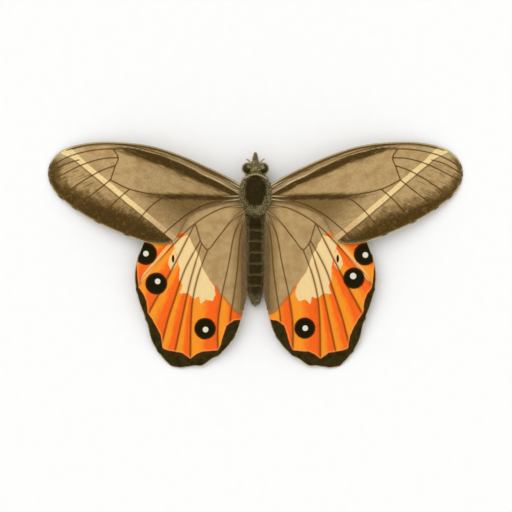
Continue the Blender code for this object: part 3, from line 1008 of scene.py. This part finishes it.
def wing_margin(form, step, fringe):
    """A sheet's rim inside its clockwise outline, with the way out and how much fringe each point has."""
    flat = trace(form.outline, step)
    _, along = distance_to(flat, flat)
    _, ends = distance_to(np.array([form.outline[i] for i in form.fringed]), flat)
    share = clamp((along - ends[0]) / FRINGE_RAMP) * clamp((ends[1] - along) / FRINGE_RAMP)
    least = np.where(along < ends[0], BARE_EDGE, BARE_EDGE / 4)
    ahead = np.vstack([flat[1:], flat[-1:]])
    behind = np.vstack([flat[:1], flat[:-1]])
    way = (ahead - behind) / np.linalg.norm(ahead - behind, axis=1)[:, None]
    outward = np.column_stack([-way[:, 1], way[:, 0]])
    share = least + (1 - least) * share
    return flat - outward * (share * fringe)[:, None], outward, share


def wing_sheet(name, form, side, wings, looks):
    """A thin two-sided membrane with its markings' distances kept at its points."""
    grid = wings.grid / MM
    rim, _, _ = wing_margin(form, grid * 1.2, getattr(wings, form.fringe) / MM * FRINGE_HOLD)
    rim = np.vstack([rim, form.root])
    row_height = grid * math.sqrt(3) / 2
    corner = rim.min(axis=0)
    reach = rim.max(axis=0) - corner
    rows, columns = int(reach[1] / row_height) + 1, int(reach[0] / grid) + 1
    row, column = np.meshgrid(np.arange(rows), np.arange(columns), indexing="ij")
    inner = np.stack([(column + row % 2 / 2) * grid, row * row_height], axis=-1).reshape(-1, 2) + corner
    inner = inner[depth_inside(inner, rim) > grid * 0.6]
    flat = [Vector(p) for p in np.vstack([rim, inner])]
    inside_only = 1
    plan, _, faces, *_ = delaunay_2d_cdt(flat, [], [list(range(len(rim)))], inside_only, 1e-6)
    plan = np.array([tuple(p) for p in plan])
    vein_gap = np.min([distance_to(plan, trace(path, 0.5))[0] for path in form.veins.values()], axis=0)
    margin, _ = distance_to(plan, trace(form.outline, 0.6))
    middle = wing_height(plan[:, 0], plan[:, 1]) - form.drop + relief(plan, vein_gap)
    half = wings.thickness / MM / 2 * clamp(margin / THIN_RIM, THIN_SHARE)
    upper = np.column_stack([plan[:, 0] * side, plan[:, 1], middle + half])
    lower = np.column_stack([plan[:, 0] * side, plan[:, 1], middle - half])
    count = len(plan)
    faces = [face if side > 0 else face[::-1] for face in faces]
    used = {(face[i - 1], face[i]) for face in faces for i in range(len(face))}
    border = [(b, a, a + count, b + count) for a, b in used if (b, a) not in used]
    below = [[i + count for i in face[::-1]] for face in faces]
    sheet = mesh_object(name, np.vstack([upper, lower]), [*faces, *below, *sorted(border)], looks)
    look_of_face = [0] * len(faces) + [1] * len(faces) + [0] * len(border)
    sheet.data.polygons.foreach_set("material_index", look_of_face)
    sheet.data.set_sharp_from_angle(angle=math.radians(55))
    kept = {"vein_gap": vein_gap, **form.values(plan, side)}
    keep_values(sheet, **{key: np.concatenate([numbers, numbers]) for key, numbers in kept.items()})
    return sheet


def wing_veins(name, form, side, looks):
    """Raised veins of a wing, in the wing's own colours."""
    routes = []
    for path in form.veins.values():
        route = smooth_through(path, 0.35)
        plan = trace(path, 0.35)
        height = wing_height(plan[:, 0], plan[:, 1]) - form.drop + relief(plan, np.zeros(len(plan)))
        routes.append([(side * p[0], p[1], z, p[2]) for p, z in zip(route, height)])
    growth = Growth(name, Roundness=8)
    tube = growth.swept(growth.line(), growth.given("Roundness"), growth.kept("thickness"))
    piece = growth.run(paths_object(name, routes), tube, looks[0], name)
    plan = read_points(piece)[:, :2] / MM * (side, 1)
    keep_values(piece, vein_gap=np.zeros(len(plan)), **form.values(plan, side))
    piece.data.materials.append(looks[1])
    for face in piece.data.polygons:
        face.material_index = 1 if face.normal.z < 0 else 0
    piece.data.shade_smooth()
    return piece


def add_wing(node, form, side, wings, looks):
    """Adds a wing's sheet and its veins."""
    finish_piece(wing_sheet(f"{node}_sheet", form, side, wings, looks), node)
    finish_piece(wing_veins(f"{node}_veins", form, side, looks), node)


def forewing_values(plan, side):
    """Distances and strengths that the forewing's markings are painted by."""
    x, y = plan[:, 0], plan[:, 1]
    top = np.interp(x, STRIPE_X, STRIPE_TOP)
    bottom = np.interp(x, STRIPE_X, STRIPE_BOTTOM)
    if side < 0:
        bottom = bottom - LEFT_STRIPE_DROP * ramp(x, 6.0, 9.0)
    share = (y - bottom) / (top - bottom)
    strength = np.interp(x, *STRIPE_STRENGTH)
    feathered = np.maximum(ramp(share, -0.5, 0.35), ramp(share, -1.5, 0.1) * 0.28)
    stripe = strength * feathered * (1 - ramp(share, 0.9, 1.05))
    cubitus = trace(FOREWING_VEINS["cubitus"], 0.5)
    gap, along = distance_to(plan + (0.0, CUBITUS_DROP), cubitus)
    strength = np.interp(along, *CUBITUS_STRENGTH)
    costal, _ = distance_to(plan, trace(FOREWING[:9], 0.5))
    termen, _ = distance_to(plan, trace(FOREWING[7:17], 0.5))
    dusk = np.interp((plan - BAND_FROM) @ BAND_WAY, DUSK_ALONG, DUSK_REACH) - termen - 0.5 * side
    strip = costal / np.maximum(costal + np.maximum(y - top, 0.0), 0.2)
    return {
        "stripe": np.maximum(stripe, strength * np.exp(-((gap / CUBITUS_WIDTH) ** 2))),
        "costal": costal,
        "strip": np.where(y > top, strip, 1.2),
        "termen": termen,
        "behind": np.interp(x, cubitus[:, 0], cubitus[:, 1]) - y,
        "dusk": dusk,
    }


def hindwing_values(plan, side):
    """Distances that the hindwing's markings are painted by, and how far each place lies across its ray.

    That runs from 0 just behind a vein to 1 at the next one to the rear. Both sides have the same values.
    """
    offsets = plan - np.array(RAY_CENTRE)
    reach = np.linalg.norm(offsets, axis=1)
    angle = np.arctan2(-offsets[:, 1], offsets[:, 0])
    lines = []
    for name in RAY_VEINS:
        path = trace(HINDWING_VEINS[name], 0.5) - np.array(RAY_CENTRE)
        far = np.linalg.norm(path, axis=1)
        path, far = path[far.argmin():], far[far.argmin():]
        lines.append(np.interp(reach, far, np.unwrap(np.arctan2(-path[:, 1], path[:, 0]))))
    share = clamp(1 - (lines[0] - angle) / FIRST_RAY)
    for first, second in zip(lines[:-1], lines[1:]):
        between = (angle >= first) & (angle < second)
        share = np.where(between, (angle - first) / np.maximum(second - first, 1e-3), share)
    share = np.where(angle >= lines[-1], clamp((angle - lines[-1]) / LAST_RAY), share)
    return {**{name: depth_inside(plan, loop) for name, loop in MARKINGS.items()}, "ray": share}


FOREWING_FORM = SimpleNamespace(
    slot="forewing", outline=FOREWING, fringed=FOREWING_FRINGED, root=FOREWING_ROOT, veins=FOREWING_VEINS,
    drop=0.0, fringe="forewing_fringe", values=forewing_values,
)
HINDWING_FORM = SimpleNamespace(
    slot="hindwing", outline=HINDWING, fringed=HINDWING_FRINGED, root=HINDWING_ROOT, veins=HINDWING_VEINS,
    drop=HINDWING_DROP, fringe="hindwing_fringe", values=hindwing_values,
)


def add_fringe(node, form, side, wings, look, seed):
    """Adds two rows of fringe scales round a wing's margin."""
    length = getattr(wings, form.fringe) / MM
    flat, outward, share = wing_margin(form, 0.2, length)
    far = flat + outward * length
    level = wing_height(flat[:, 0], flat[:, 1]) - form.drop
    slope = (wing_height(far[:, 0], far[:, 1]) - form.drop - level) / length
    way = np.column_stack([outward[:, 0] * side, outward[:, 1], slope])
    ends = np.array([path[-1][:2] for path in form.veins.values()])
    gap = np.linalg.norm(flat[:, None] - ends, axis=2).min(axis=1)
    rows = [np.column_stack([flat[:, 0] * side, flat[:, 1], level + rise]) for rise in FRINGE_ROWS]
    check = clamp(np.maximum(1.5 - gap / 0.7, 1.2 - share * 2))
    name = f"{node}_fringe"
    base = paths_object(
        name, rows, outward=np.tile(way, (2, 1)), reach=np.tile(share, 2), check=np.tile(check, 2)
    )
    gap = wings.fringe_spacing / MM
    fringe = scales_on(name, base, look, seed, spacing=gap, length=length, width=gap * 1.3, spread=0.1)
    finish_piece(fringe, node)


def skin(name, sections, look, depth, flare=0.0, bumps=None, step=0.25):
    """A closed rounded form under the fur, a fur's depth inside the body's sections."""
    sections = smooth_through(sections, step)
    first, last = sections[0][0], sections[-1][0]
    points = []
    for y, half_width, top, bottom, widest in sections:
        swell = 1 + flare * (((last - y) / ABDOMEN_SEGMENT) % 1 - 0.5)
        place = y + depth * (0.5 - (y - first) / (last - first)) * 2
        for k in range(SKIN_ROUND):
            angle = 2 * math.pi * k / SKIN_ROUND
            rise = top - widest if math.sin(angle) > 0 else widest - bottom
            across = max(half_width - depth, half_width * 0.4) * swell * math.cos(angle)
            height = widest + max(rise - depth, rise * 0.4) * swell * math.sin(angle)
            if bumps:
                height += bumps(across, place) * max(math.sin(angle), 0.0)
            points.append((across, place, max(height, depth * 0.35)))
    made = mesh_object(name, points, tube_faces(0, len(points), SKIN_ROUND), [look])
    turn_outwards(made)
    return made


def thorax_bumps(x, y):
    """The thorax's back: a broad shield with a groove, a scutellum behind it and a collar in front."""
    shield = 0.12 * math.exp(-((x / 1.7) ** 4) - ((y - 13.6) / 3.4) ** 4)
    groove = -0.1 * math.exp(-((x / 0.16) ** 2)) * math.exp(-(((y - 14.5) / 2.6) ** 4))
    scutellum = 0.16 * math.exp(-((x / 1.1) ** 2) - ((y - 9.7) / 0.8) ** 2)
    collar = 0.22 * math.exp(-(((y - (17.6 - 0.2 * x * x)) / 0.3) ** 2))
    return shield + groove + scutellum + collar


def thorax_reach(x, y, z):
    """Long hair at the sides and rear, and short hair on the back and the belly."""
    longer = np.maximum(clamp((10.5 - y) / 2.0), clamp((np.abs(x) - 1.2) / 1.0))
    return np.where(z > 1.0, 0.65 + 0.35 * longer, 0.45)


def abdomen_reach(x, y, z):
    """Fine short hair that is longest at the joint with the thorax and at the tip."""
    return 0.5 + 0.5 * np.maximum(clamp((y - 4.5) / 3.0), clamp((-8.5 - y) / 1.5))


def shoulder_reach(x, y, z):
    return np.full(len(x), 0.9)


def head_reach(x, y, z):
    """Hair that is longest on the front of the head."""
    return 0.6 + 0.4 * clamp((y - 19.0) / 1.0)


def fur_on(skin_object, name, look, body, reach, seed):
    """Bent hairs all over a copy of a skin, lying back along its surface to the rear."""
    base = placed(name, skin_object.data.copy())
    normals = read_points(base, "normal")
    back = np.array(FUR_BACK)
    places = read_points(base).astype(float) / MM
    keep_values(base, flow=back - normals * (normals @ back)[:, None], reach=reach(*places.T))
    density = body.fur_density / MM**2
    growth = Growth(
        name, Density=density, Length=body.fur_length, Thickness=body.hair, Bend=-0.3, Lift=0.4, Seed=seed
    )
    inputs = {label: growth.given(label) for label in ("Density", "Seed")}
    inputs["Mesh"] = growth.given("Geometry")
    points = growth.node("GeometryNodeDistributePointsOnFaces", inputs, distribute_method="RANDOM")
    normal = points.twin("Normal")
    upright = growth.vector("SCALE", normal, Scale=growth.given("Lift"))
    direction = growth.vector("ADD", upright, growth.kept("flow", "FLOAT_VECTOR"))
    direction = growth.vector("ADD", direction, growth.random_way((0.35,) * 3, seed + 1))
    shape = growth.strand(growth.given("Bend"))
    scale = growth.given("Length") * growth.random(0.55, 1.1, seed + 2) * growth.kept("reach")
    fur = growth.run(base, growth.plant(points, shape, direction, normal, scale, seed + 3), look, name)
    keep_within(fur, *FUR_LIMITS)
    return fur


def scales_on(name, base, look, seed, spacing, length, width, spread):
    """A row of flat scales along paths, pointing the way that is kept at the paths' points."""
    growth = Growth(name, Spacing=spacing * MM, Length=length * MM, Width=width * MM, Spread=spread)
    line = growth.line(growth.given("Spacing"))
    stray = growth.vector("SCALE", growth.random_way((1.0, 1.0, 0.6), seed), Scale=growth.given("Spread"))
    direction = growth.vector("ADD", growth.kept("outward", "FLOAT_VECTOR"), stray)
    reach = growth.given("Length") * growth.kept("reach") * growth.random(0.72, 1.0, seed + 1)
    width = growth.given("Width") * growth.random(0.7, 1.2, seed + 2)
    scale = growth.node("ShaderNodeCombineXYZ", {"X": width, "Y": width, "Z": reach})
    grown = growth.plant(line, growth.blade(), direction, (0.0, 0.0, 1.0), scale, seed + 3)
    return growth.run(base, grown, look, name)


def hairs_along(name, base, look, seed, spacing, length, thickness, spread):
    """Hairs that stand out all round a limb, leaning to its tip."""
    growth = Growth(name, Spacing=spacing * MM, Length=length * MM, Thickness=thickness * MM, Spread=spread)
    line = growth.line(growth.given("Spacing"))
    along = growth.node("GeometryNodeInputTangent", {})
    around = growth.vector("CROSS_PRODUCT", along, growth.random_way((1.0,) * 3, seed))
    around = growth.vector("SCALE", growth.vector("NORMALIZE", around), Scale=growth.given("Spread"))
    direction = growth.vector("ADD", along, around)
    shape = growth.strand(-0.12)
    reach = growth.given("Length") * growth.random(0.6, 1.0, seed + 1) * growth.kept("reach")
    grown = growth.plant(line, shape, direction, (0.0, 0.0, 1.0), reach, seed + 2)
    return growth.run(base, grown, look, name)


def collar_path():
    """The line of the pale collar across the front of the thorax, with the way that its scales point."""
    rows, ways = [], []
    for back in COLLAR_ROWS:
        route = []
        for k in range(-24, 25):
            x = k / 10
            y = COLLAR_FRONT - COLLAR_BEND * x * x - back
            route.append((x, y, surface_height(THORAX, x, y) - COLLAR_DEPTH))
            ways.append((0.25 * x, 0.75, 0.65))
        rows.append(route)
    return paths_object("collar_path", rows, outward=ways, reach=[1.0] * len(ways))


def inner_margin(name, side):
    """The hindwing's edge along the abdomen, where long hairs close the gap to the body."""
    rows, ways = [], []
    for shift in INNER_ROWS:
        row = []
        for k in range(INNER_STEPS):
            y = INNER_FRONT - k * INNER_STEP
            x = np.interp(y, INNER_Y, INNER_X) + shift
            row.append((side * x, y, wing_height(x, y) - HINDWING_DROP + INNER_RISE))
            ways.append((side * -0.9, -0.9, -0.35))
        rows.append(row)
    reach = clamp((INNER_STEPS - np.arange(INNER_STEPS)) / 10, 0.3)
    return paths_object(name, rows, outward=ways, reach=np.tile(reach, len(INNER_ROWS)))


def facets(name, centre, radii, look):
    """An eye of many domed six-sided facets, with their rims kept as a number."""
    ball = bmesh.new()
    bmesh.ops.create_icosphere(ball, subdivisions=5, radius=1.0)
    points = [face.calc_center_median().normalized() for face in ball.faces]
    rims = [1.0] * len(points)
    faces = []
    for vert in ball.verts:
        outer = []
        loop = vert.link_loops[0]
        for _ in vert.link_faces:
            outer.append(loop.face.index)
            loop = loop.link_loop_prev.link_loop_radial_next
        inner = list(range(len(points), len(points) + len(outer)))
        points += [(points[index] * 0.5 + vert.co * 0.5).normalized() * 1.012 for index in outer]
        rims += [0.0] * len(outer)
        for k, index in enumerate(outer):
            after = (k + 1) % len(outer)
            faces.append((index, outer[after], inner[after], inner[k]))
        faces.append(inner)
    ball.free()
    places = [[centre[k] + p[k] * radii[k] for k in range(3)] for p in points]
    made = mesh_object(name, places, faces, [look])
    keep_values(made, rim=rims)
    turn_outwards(made)
    return made


def eye_ring(name, side):
    """The line of pale scales that rim an eye, seen from above."""
    x, y, z = EYE_AT
    wide, long = EYE_RING_REACH
    route, ways = [], []
    for k in range(EYE_RING_STEPS + 1):
        angle = 2 * math.pi * k / EYE_RING_STEPS
        out, along = math.cos(angle), math.sin(angle)
        route.append((side * (x + out * wide), y + along * long, z - EYE_RING_DROP))
        ways.append((side * out, along, 0.45))
    return paths_object(name, [route], outward=ways, reach=[1.0] * len(route))


def femur_shape(share):
    return 0.62 + 0.25 * math.sin(math.pi * min(share * 1.05, 1.0)), 1.0 if share > 0.93 else 0.0


def tibia_shape(share):
    return 0.66 + 0.14 * share, 1.0 if share < 0.05 or share > 0.95 else 0.0


def tarsus_shape(share):
    part = share * 5 % 1
    return 0.62 + 0.26 * part**2, 1.0 if part > 0.8 else 0.0


def antenna_shape(share):
    part = share * 9 % 1
    return 1.05 + 0.16 * math.sin(math.pi * part), 1.0 if part < 0.2 else 0.0


def coil_shape(share):
    part = share * 60 % 1
    return 0.9 + 0.08 * math.sin(math.pi * part), 1.0 if part < 0.3 else 0.0


def mirrored(route, side):
    return [(side * p[0], *p[1:]) for p in route]


def leg_joints(name, route, look):
    """A leg's hip, thigh, shin and foot, with spurs at the shin's end and claws at the foot's."""
    form = Form()
    x, y, z, radius = route[0]
    hip = [(x * 0.6, y, z + 1.0, radius), (x * 0.8, y, z + 0.5, radius * 1.1)]
    form.tube([*hip, (x * 0.97, y, z, radius * 0.8)])
    form.tube(route[:3], shape=femur_shape)
    form.tube(route[2:5], shape=tibia_shape)
    if len(route) > 5:
        form.tube(route[4:], step=0.04, shape=tarsus_shape)
        add_points(form, route[4], route[5], length=0.45, radius=0.04)
    onward = [2 * a - b for a, b in zip(route[-1], route[-2])]
    add_points(form, route[-1], onward, length=0.16, radius=0.03)
    return form.make(name, look)


def add_points(form, start, towards, length, radius):
    """Two small curved points that part from the end of a limb."""
    start = Vector(start[:3])
    way = (Vector(towards[:3]) - start).normalized()
    for turn in (-1, 1):
        aside = way.cross(Vector((0, 0, 1))) * turn * 0.4
        middle = start + (way + aside) * length * 0.6
        tip = start + (way + aside * 0.8) * length
        tip.z = max(tip.z - 0.05, 0.04)
        form.tube([(*start, radius), (*middle, radius * 0.8), (*tip, radius * 0.3)], step=0.03, around=8)


def distance(name, description, millimetres):
    return FloatProperty(
        name=name, description=description, default=millimetres * MM, min=0.0, precision=5, unit="LENGTH"
    )


def tint(name, description, *steps):
    return FloatVectorProperty(
        name=name, description=description, default=srgb(*steps), size=3, min=0.0, max=1.0, subtype="COLOR"
    )


class WingSettings(bpy.types.PropertyGroup):
    """Sizes and colours of the wings."""

    grid: distance("Mesh size", "Distance between the points of the wings' sheets", 0.28)
    thickness: distance("Thickness", "Thickness of the wings' sheets", 0.12)
    forewing_fringe: distance("Forewing fringe", "Length of the scales at the forewings' margins", 0.32)
    hindwing_fringe: distance("Hindwing fringe", "Length of the scales at the hindwings' margins", 0.24)
    fringe_spacing: distance("Fringe spacing", "Distance between two fringe scales", 0.075)
    tan: tint("Tan", "The wings' inner parts", 189, 159, 109)
    tan_shade: tint("Shaded tan", "Darker patches of the wings' inner parts", 170, 134, 86)
    brown: tint("Brown", "The forewing's outer part", 126, 99, 56)
    dark: tint("Dark brown", "The forewing's stripes and outer margin", 72, 52, 18)
    cream: tint("Cream", "The forewing's band and the hindwing's patch", 242, 212, 150)
    deep_orange: tint("Deep orange", "The darker side of the hindwing's rays", 250, 104, 30)
    light_orange: tint("Light orange", "The lighter side of the hindwing's rays", 251, 150, 40)
    border: tint("Border", "The hindwing's scalloped border", 58, 46, 18)
    spot: tint("Eyespots", "The discs of the hindwing's eyespots", 29, 25, 5)
    pupil: tint("Pupils", "The pale middles of the eyespots", 232, 222, 200)
    vein: tint("Veins", "Veins in the tan parts", 92, 64, 30)
    vein_orange: tint("Hindwing veins", "Veins in the orange rays", 124, 62, 18)
    under: tint("Underside", "The colour that the undersides fade to", 196, 172, 132)
    fringe_pale: tint("Pale fringe", "Fringe scales between the veins", 206, 186, 146)
    fringe_dark: tint("Dark fringe", "Fringe scales at the veins' ends", 78, 60, 32)


class BodySettings(bpy.types.PropertyGroup):
    """Sizes and colours of the body, the eyes and the limbs."""

    fur_density: FloatProperty(
        name="Fur density", description="Hairs for each square millimetre", default=38.0, min=1.0
    )
    fur_length: distance("Fur length", "Length of the longest body hairs", 0.8)
    hair: distance("Hair thickness", "Thickness of a body hair at its root", 0.045)
    dark_fur: tint("Dark fur", "Fur along the back", 51, 40, 15)
    tan_fur: tint("Tan fur", "Fur at the sides", 196, 178, 126)
    palp: tint("Palps", "The scaled feelers that make the snout", 138, 118, 70)
    palp_pale: tint("Pale palps", "Pale rings of the feelers", 200, 180, 142)
    eye: tint("Eyes", "The facets of the eyes", 50, 38, 8)
    horn: tint("Limbs", "Legs, antennae and feeding tube", 84, 62, 32)
    horn_shade: tint("Shaded limbs", "Darker parts of the limbs", 50, 36, 18)
    horn_pale: tint("Limb rings", "Joints and rings of the limbs", 176, 150, 104)


class StageSettings(bpy.types.PropertyGroup):
    """The floor and the light."""

    floor: tint("Floor", "The paper that the specimen lies on", 254, 254, 253)
    room: FloatProperty(name="Room light", description="Even light from all round", default=0.8, min=0.0)
    key: FloatProperty(
        name="Key light", description="Soft light from the front left", default=0.85, min=0.0
    )
    angle: FloatProperty(
        name="Key softness", description="Width of the key light", default=math.radians(50), unit="ROTATION"
    )


class SetStage(bpy.types.Operator):
    """Adds the floor, the lights and the camera that looks straight down"""

    bl_idname = "butterfly.set_stage"
    bl_label = "Set stage"

    def execute(self, context):
        scene = context.scene
        stage = scene.butterfly_stage
        turns = ((-1, -1), (1, -1), (1, 1), (-1, 1))
        corners = [(FLOOR_REACH * x, FLOOR_REACH * y, FLOOR_LEVEL) for x, y in turns]
        mesh_object("floor", corners, [(0, 1, 2, 3)], [floor_look(stage)], smooth=False)
        scene.world = bpy.data.worlds.new("studio")
        scene.world.use_nodes = True
        inputs = scene.world.node_tree.nodes["Background"].inputs
        inputs["Color"].default_value = (1.0, 1.0, 1.0, 1.0)
        inputs["Strength"].default_value = stage.room
        lamp = bpy.data.lights.new("key", "SUN")
        lamp.energy = stage.key
        lamp.angle = stage.angle
        placed("key", lamp).rotation_euler = [math.radians(turn) for turn in KEY_TURN]
        camera = bpy.data.cameras.new("camera")
        camera.lens = LENS
        camera.sensor_width = SENSOR
        camera.clip_start = 0.01
        camera.clip_end = 10.0
        scene.camera = placed("camera", camera)
        height = VIEW_LEVEL + VIEW_WIDTH * LENS / SENSOR
        scene.camera.location = [at * MM for at in (*VIEW_AT, height)]
        scene.view_settings.view_transform = "Standard"
        return {"FINISHED"}


class AddForewings(bpy.types.Operator):
    """Adds the forewings' sheets and veins"""

    bl_idname = "butterfly.add_forewings"
    bl_label = "Add forewings"

    def execute(self, context):
        wings = context.scene.butterfly_wings
        above = forewing_look("forewing above", wings, fade=0.0)
        below = forewing_look("forewing below", wings, fade=UNDER_FADE)
        for label, side in SIDES.items():
            add_wing(f"{label}_forewing", FOREWING_FORM, side, wings, [above, below])
        return {"FINISHED"}


class AddHindwings(bpy.types.Operator):
    """Adds the hindwings' sheets and veins"""

    bl_idname = "butterfly.add_hindwings"
    bl_label = "Add hindwings"

    def execute(self, context):
        wings = context.scene.butterfly_wings
        for label, side in SIDES.items():
            above = hindwing_look(f"{label} hindwing above", wings, side, fade=0.0)
            below = hindwing_look(f"{label} hindwing below", wings, side, fade=UNDER_FADE)
            add_wing(f"{label}_hindwing", HINDWING_FORM, side, wings, [above, below])
        return {"FINISHED"}


class AddFringes(bpy.types.Operator):
    """Adds the fringe scales round the wings"""

    bl_idname = "butterfly.add_fringes"
    bl_label = "Add fringes"

    def execute(self, context):
        wings = context.scene.butterfly_wings
        look = fringe_look(wings)
        for label, side in SIDES.items():
            add_fringe(f"{label}_forewing", FOREWING_FORM, side, wings, look, 11)
            add_fringe(f"{label}_hindwing", HINDWING_FORM, side, wings, look, 23)
        return {"FINISHED"}


class AddBody(bpy.types.Operator):
    """Adds the head, thorax and abdomen with their fur, and the tufts at the wings' roots"""

    bl_idname = "butterfly.add_body"
    bl_label = "Add body"

    def execute(self, context):
        body = context.scene.butterfly_body
        look = body_look(body)
        shoulders, face = Form(), Form()
        for side in SIDES.values():
            shoulders.tube(mirrored(SHOULDER, side), step=0.1, around=24)
        shoulders.tube(NECK, step=0.1, around=32)
        shoulders.tube(WAIST, step=0.1, around=40)
        face.tube(FACE, step=0.1, around=32)
        thorax = skin("thorax_skin", THORAX, look, depth=0.18, bumps=thorax_bumps)
        skins = {
            "thorax": (thorax, thorax_reach, 31),
            "shoulder": (shoulders.make("shoulder_skin", look), shoulder_reach, 36),
            "abdomen": (skin("abdomen_skin", ABDOMEN, look, depth=0.1, flare=0.1), abdomen_reach, 41),
            "head": (skin("head_skin", HEAD, look, depth=0.1, step=0.15), head_reach, 51),
            "face": (face.make("face_skin", look), head_reach, 56),
        }
        nodes = {"shoulder": "thorax", "face": "head"}
        for label, (base, reach, seed) in skins.items():
            node = nodes.get(label, label)
            fur = fur_on(base, f"{label}_fur", look, body, reach, seed)
            finish_piece(base, node)
            finish_piece(fur, node)
        pale = strand_look("collar", srgb(168, 150, 106), srgb(222, 206, 156))
        sizes = {"spacing": 0.025, "length": 0.36, "width": 0.1, "spread": 0.35}
        collar = scales_on("collar_scales", collar_path(), pale, seed=58, **sizes)
        finish_piece(collar, "thorax")
        hair = strand_look("wing base hair", srgb(84, 64, 32), srgb(142, 116, 74))
        for label, side in SIDES.items():
            base = inner_margin(f"{label}_inner_margin", side)
            sizes = {"spacing": 0.025, "length": 1.15, "width": 0.08, "spread": 0.3}
            hairs = scales_on(f"{label}_hindwing_hair", base, hair, seed=91, **sizes)
            finish_piece(hairs, f"{label}_hindwing")
        return {"FINISHED"}


class AddEyes(bpy.types.Operator):
    """Adds the eyes' facets and the pale scales round them"""

    bl_idname = "butterfly.add_eyes"
    bl_label = "Add eyes"

    def execute(self, context):
        look = eye_look(context.scene.butterfly_body)
        rim = strand_look("eye rim", srgb(184, 166, 118), srgb(226, 210, 164))
        for label, side in SIDES.items():
            centre = (side * EYE_AT[0], *EYE_AT[1:])
            eye = facets(f"{label}_eye_facets", centre, [r * FACET_SHARE for r in EYE_RADII], look)
            name = f"{label}_eye_rim"
            sizes = {"spacing": 0.015, "length": 0.4, "width": 0.1, "spread": 0.25}
            scales = scales_on(name, eye_ring(name, side), rim, seed=61, **sizes)
            finish_piece(eye, f"{label}_eye")
            finish_piece(scales, "head")
        return {"FINISHED"}


class AddMouthparts(bpy.types.Operator):
    """Adds the palps with their scales, and the coiled feeding tube"""

    bl_idname = "butterfly.add_mouthparts"
    bl_label = "Add mouthparts"

    def execute(self, context):
        body = context.scene.butterfly_body
        skin_look = horn_look("palp skin", body.palp, srgb(96, 78, 44), body.palp_pale, rings=0.4)
        hair_look = strand_look("palp scales", srgb(158, 140, 90), srgb(230, 218, 174))
        for label, side in SIDES.items():
            node = f"{label}_palp"
            route = mirrored(PALP, side)
            form = Form()
            form.tube(route)
            finish_piece(form.make(f"{node}_skin", skin_look), node)
            path = smooth_through(route, 0.1)[:-4]
            base = paths_object(node, [path], reach=[p[3] / FULL_HAIR_RADIUS for p in path])
            sizes = {"spacing": 0.003, "length": 0.82, "thickness": 0.05, "spread": 0.7}
            hairs = hairs_along(f"{node}_hair", base, hair_look, seed=71, **sizes)
            finish_piece(hairs, node)
        route = [(*place, COIL_RADIUS) for place in COIL_ROOT]
        x, y, z = COIL_AT
        for k in range(math.ceil(COIL_TURNS * COIL_STEPS) + 1):
            reach = COIL_OUTER - COIL_PITCH * k / COIL_STEPS
            angle = math.pi / 2 - 2 * math.pi * k / COIL_STEPS
            route.append((x, y + reach * math.cos(angle), z + reach * math.sin(angle), COIL_RADIUS))
        form = Form()
        form.tube(route, step=0.03, around=12, shape=coil_shape)
        look = horn_look("feeding tube", body.horn, body.horn_shade, body.horn_pale, rings=0.5)
        finish_piece(form.make("proboscis_coil", look), "proboscis")
        return {"FINISHED"}


class AddAntennae(bpy.types.Operator):
    """Adds the short ringed antennae"""

    bl_idname = "butterfly.add_antennae"
    bl_label = "Add antennae"

    def execute(self, context):
        look = horn_look("antenna", srgb(178, 160, 112), srgb(150, 132, 86), srgb(106, 86, 48), rings=0.7)
        for label, side in SIDES.items():
            form = Form()
            form.tube(mirrored(ANTENNA, side), step=0.02, around=12, shape=antenna_shape)
            finish_piece(form.make(f"{label}_antenna_rings", look), f"{label}_antenna")
        return {"FINISHED"}


class AddLegs(bpy.types.Operator):
    """Adds the legs with their joints, spurs, claws and bristles"""

    bl_idname = "butterfly.add_legs"
    bl_label = "Add legs"

    def execute(self, context):
        body = context.scene.butterfly_body
        look = horn_look("leg", body.horn, body.horn_shade, body.horn_pale, rings=0.35)
        bristle = strand_look("leg bristles", body.horn_shade, body.horn_pale, roughness=0.55)
        for label, side in SIDES.items():
            for kind, route in LEGS.items():
                node = f"{label}_{kind}"
                route = mirrored(route, side)
                finish_piece(leg_joints(f"{node}_joints", route, look), node)
                path = smooth_through(route, 0.2)[1:-1]
                base = paths_object(node, [path], reach=[0.08 + p[3] * 1.5 for p in path])
                sizes = {"spacing": 0.025, "length": 1.0, "thickness": 0.03, "spread": 1.1}
                hairs = hairs_along(f"{node}_bristles", base, bristle, seed=81, **sizes)
                keep_within(hairs, *BRISTLE_LIMITS)
                finish_piece(hairs, node)
        return {"FINISHED"}


OPERATORS = (
    SetStage, AddForewings, AddHindwings, AddFringes, AddBody, AddEyes, AddMouthparts, AddAntennae, AddLegs,
)
SETTINGS = {
    "butterfly_wings": WingSettings,
    "butterfly_body": BodySettings,
    "butterfly_stage": StageSettings,
}


class ButterflyPanel(bpy.types.Panel):
    """Lists the pieces and their settings"""

    bl_idname = "VIEW3D_PT_butterfly"
    bl_label = "Butterfly"
    bl_space_type = "VIEW_3D"
    bl_region_type = "UI"
    bl_category = "Butterfly"

    def draw(self, context):
        for operator in OPERATORS:
            self.layout.operator(operator.bl_idname)
        for group in SETTINGS:
            box = self.layout.box()
            settings = getattr(context.scene, group)
            for name in settings.__annotations__:
                box.prop(settings, name)


def register():
    for made in (*SETTINGS.values(), *OPERATORS, ButterflyPanel):
        bpy.utils.register_class(made)
    for name, group in SETTINGS.items():
        setattr(bpy.types.Scene, name, PointerProperty(type=group))


def unregister():
    for name in SETTINGS:
        delattr(bpy.types.Scene, name)
    for made in (ButterflyPanel, *reversed(OPERATORS), *SETTINGS.values()):
        bpy.utils.unregister_class(made)


def main():
    register()
    bpy.ops.butterfly.set_stage()
    bpy.ops.butterfly.add_forewings()
    bpy.ops.butterfly.add_hindwings()
    bpy.ops.butterfly.add_fringes()
    bpy.ops.butterfly.add_body()
    bpy.ops.butterfly.add_eyes()
    bpy.ops.butterfly.add_mouthparts()
    bpy.ops.butterfly.add_antennae()
    bpy.ops.butterfly.add_legs()


if __name__ == "__main__":
    main()
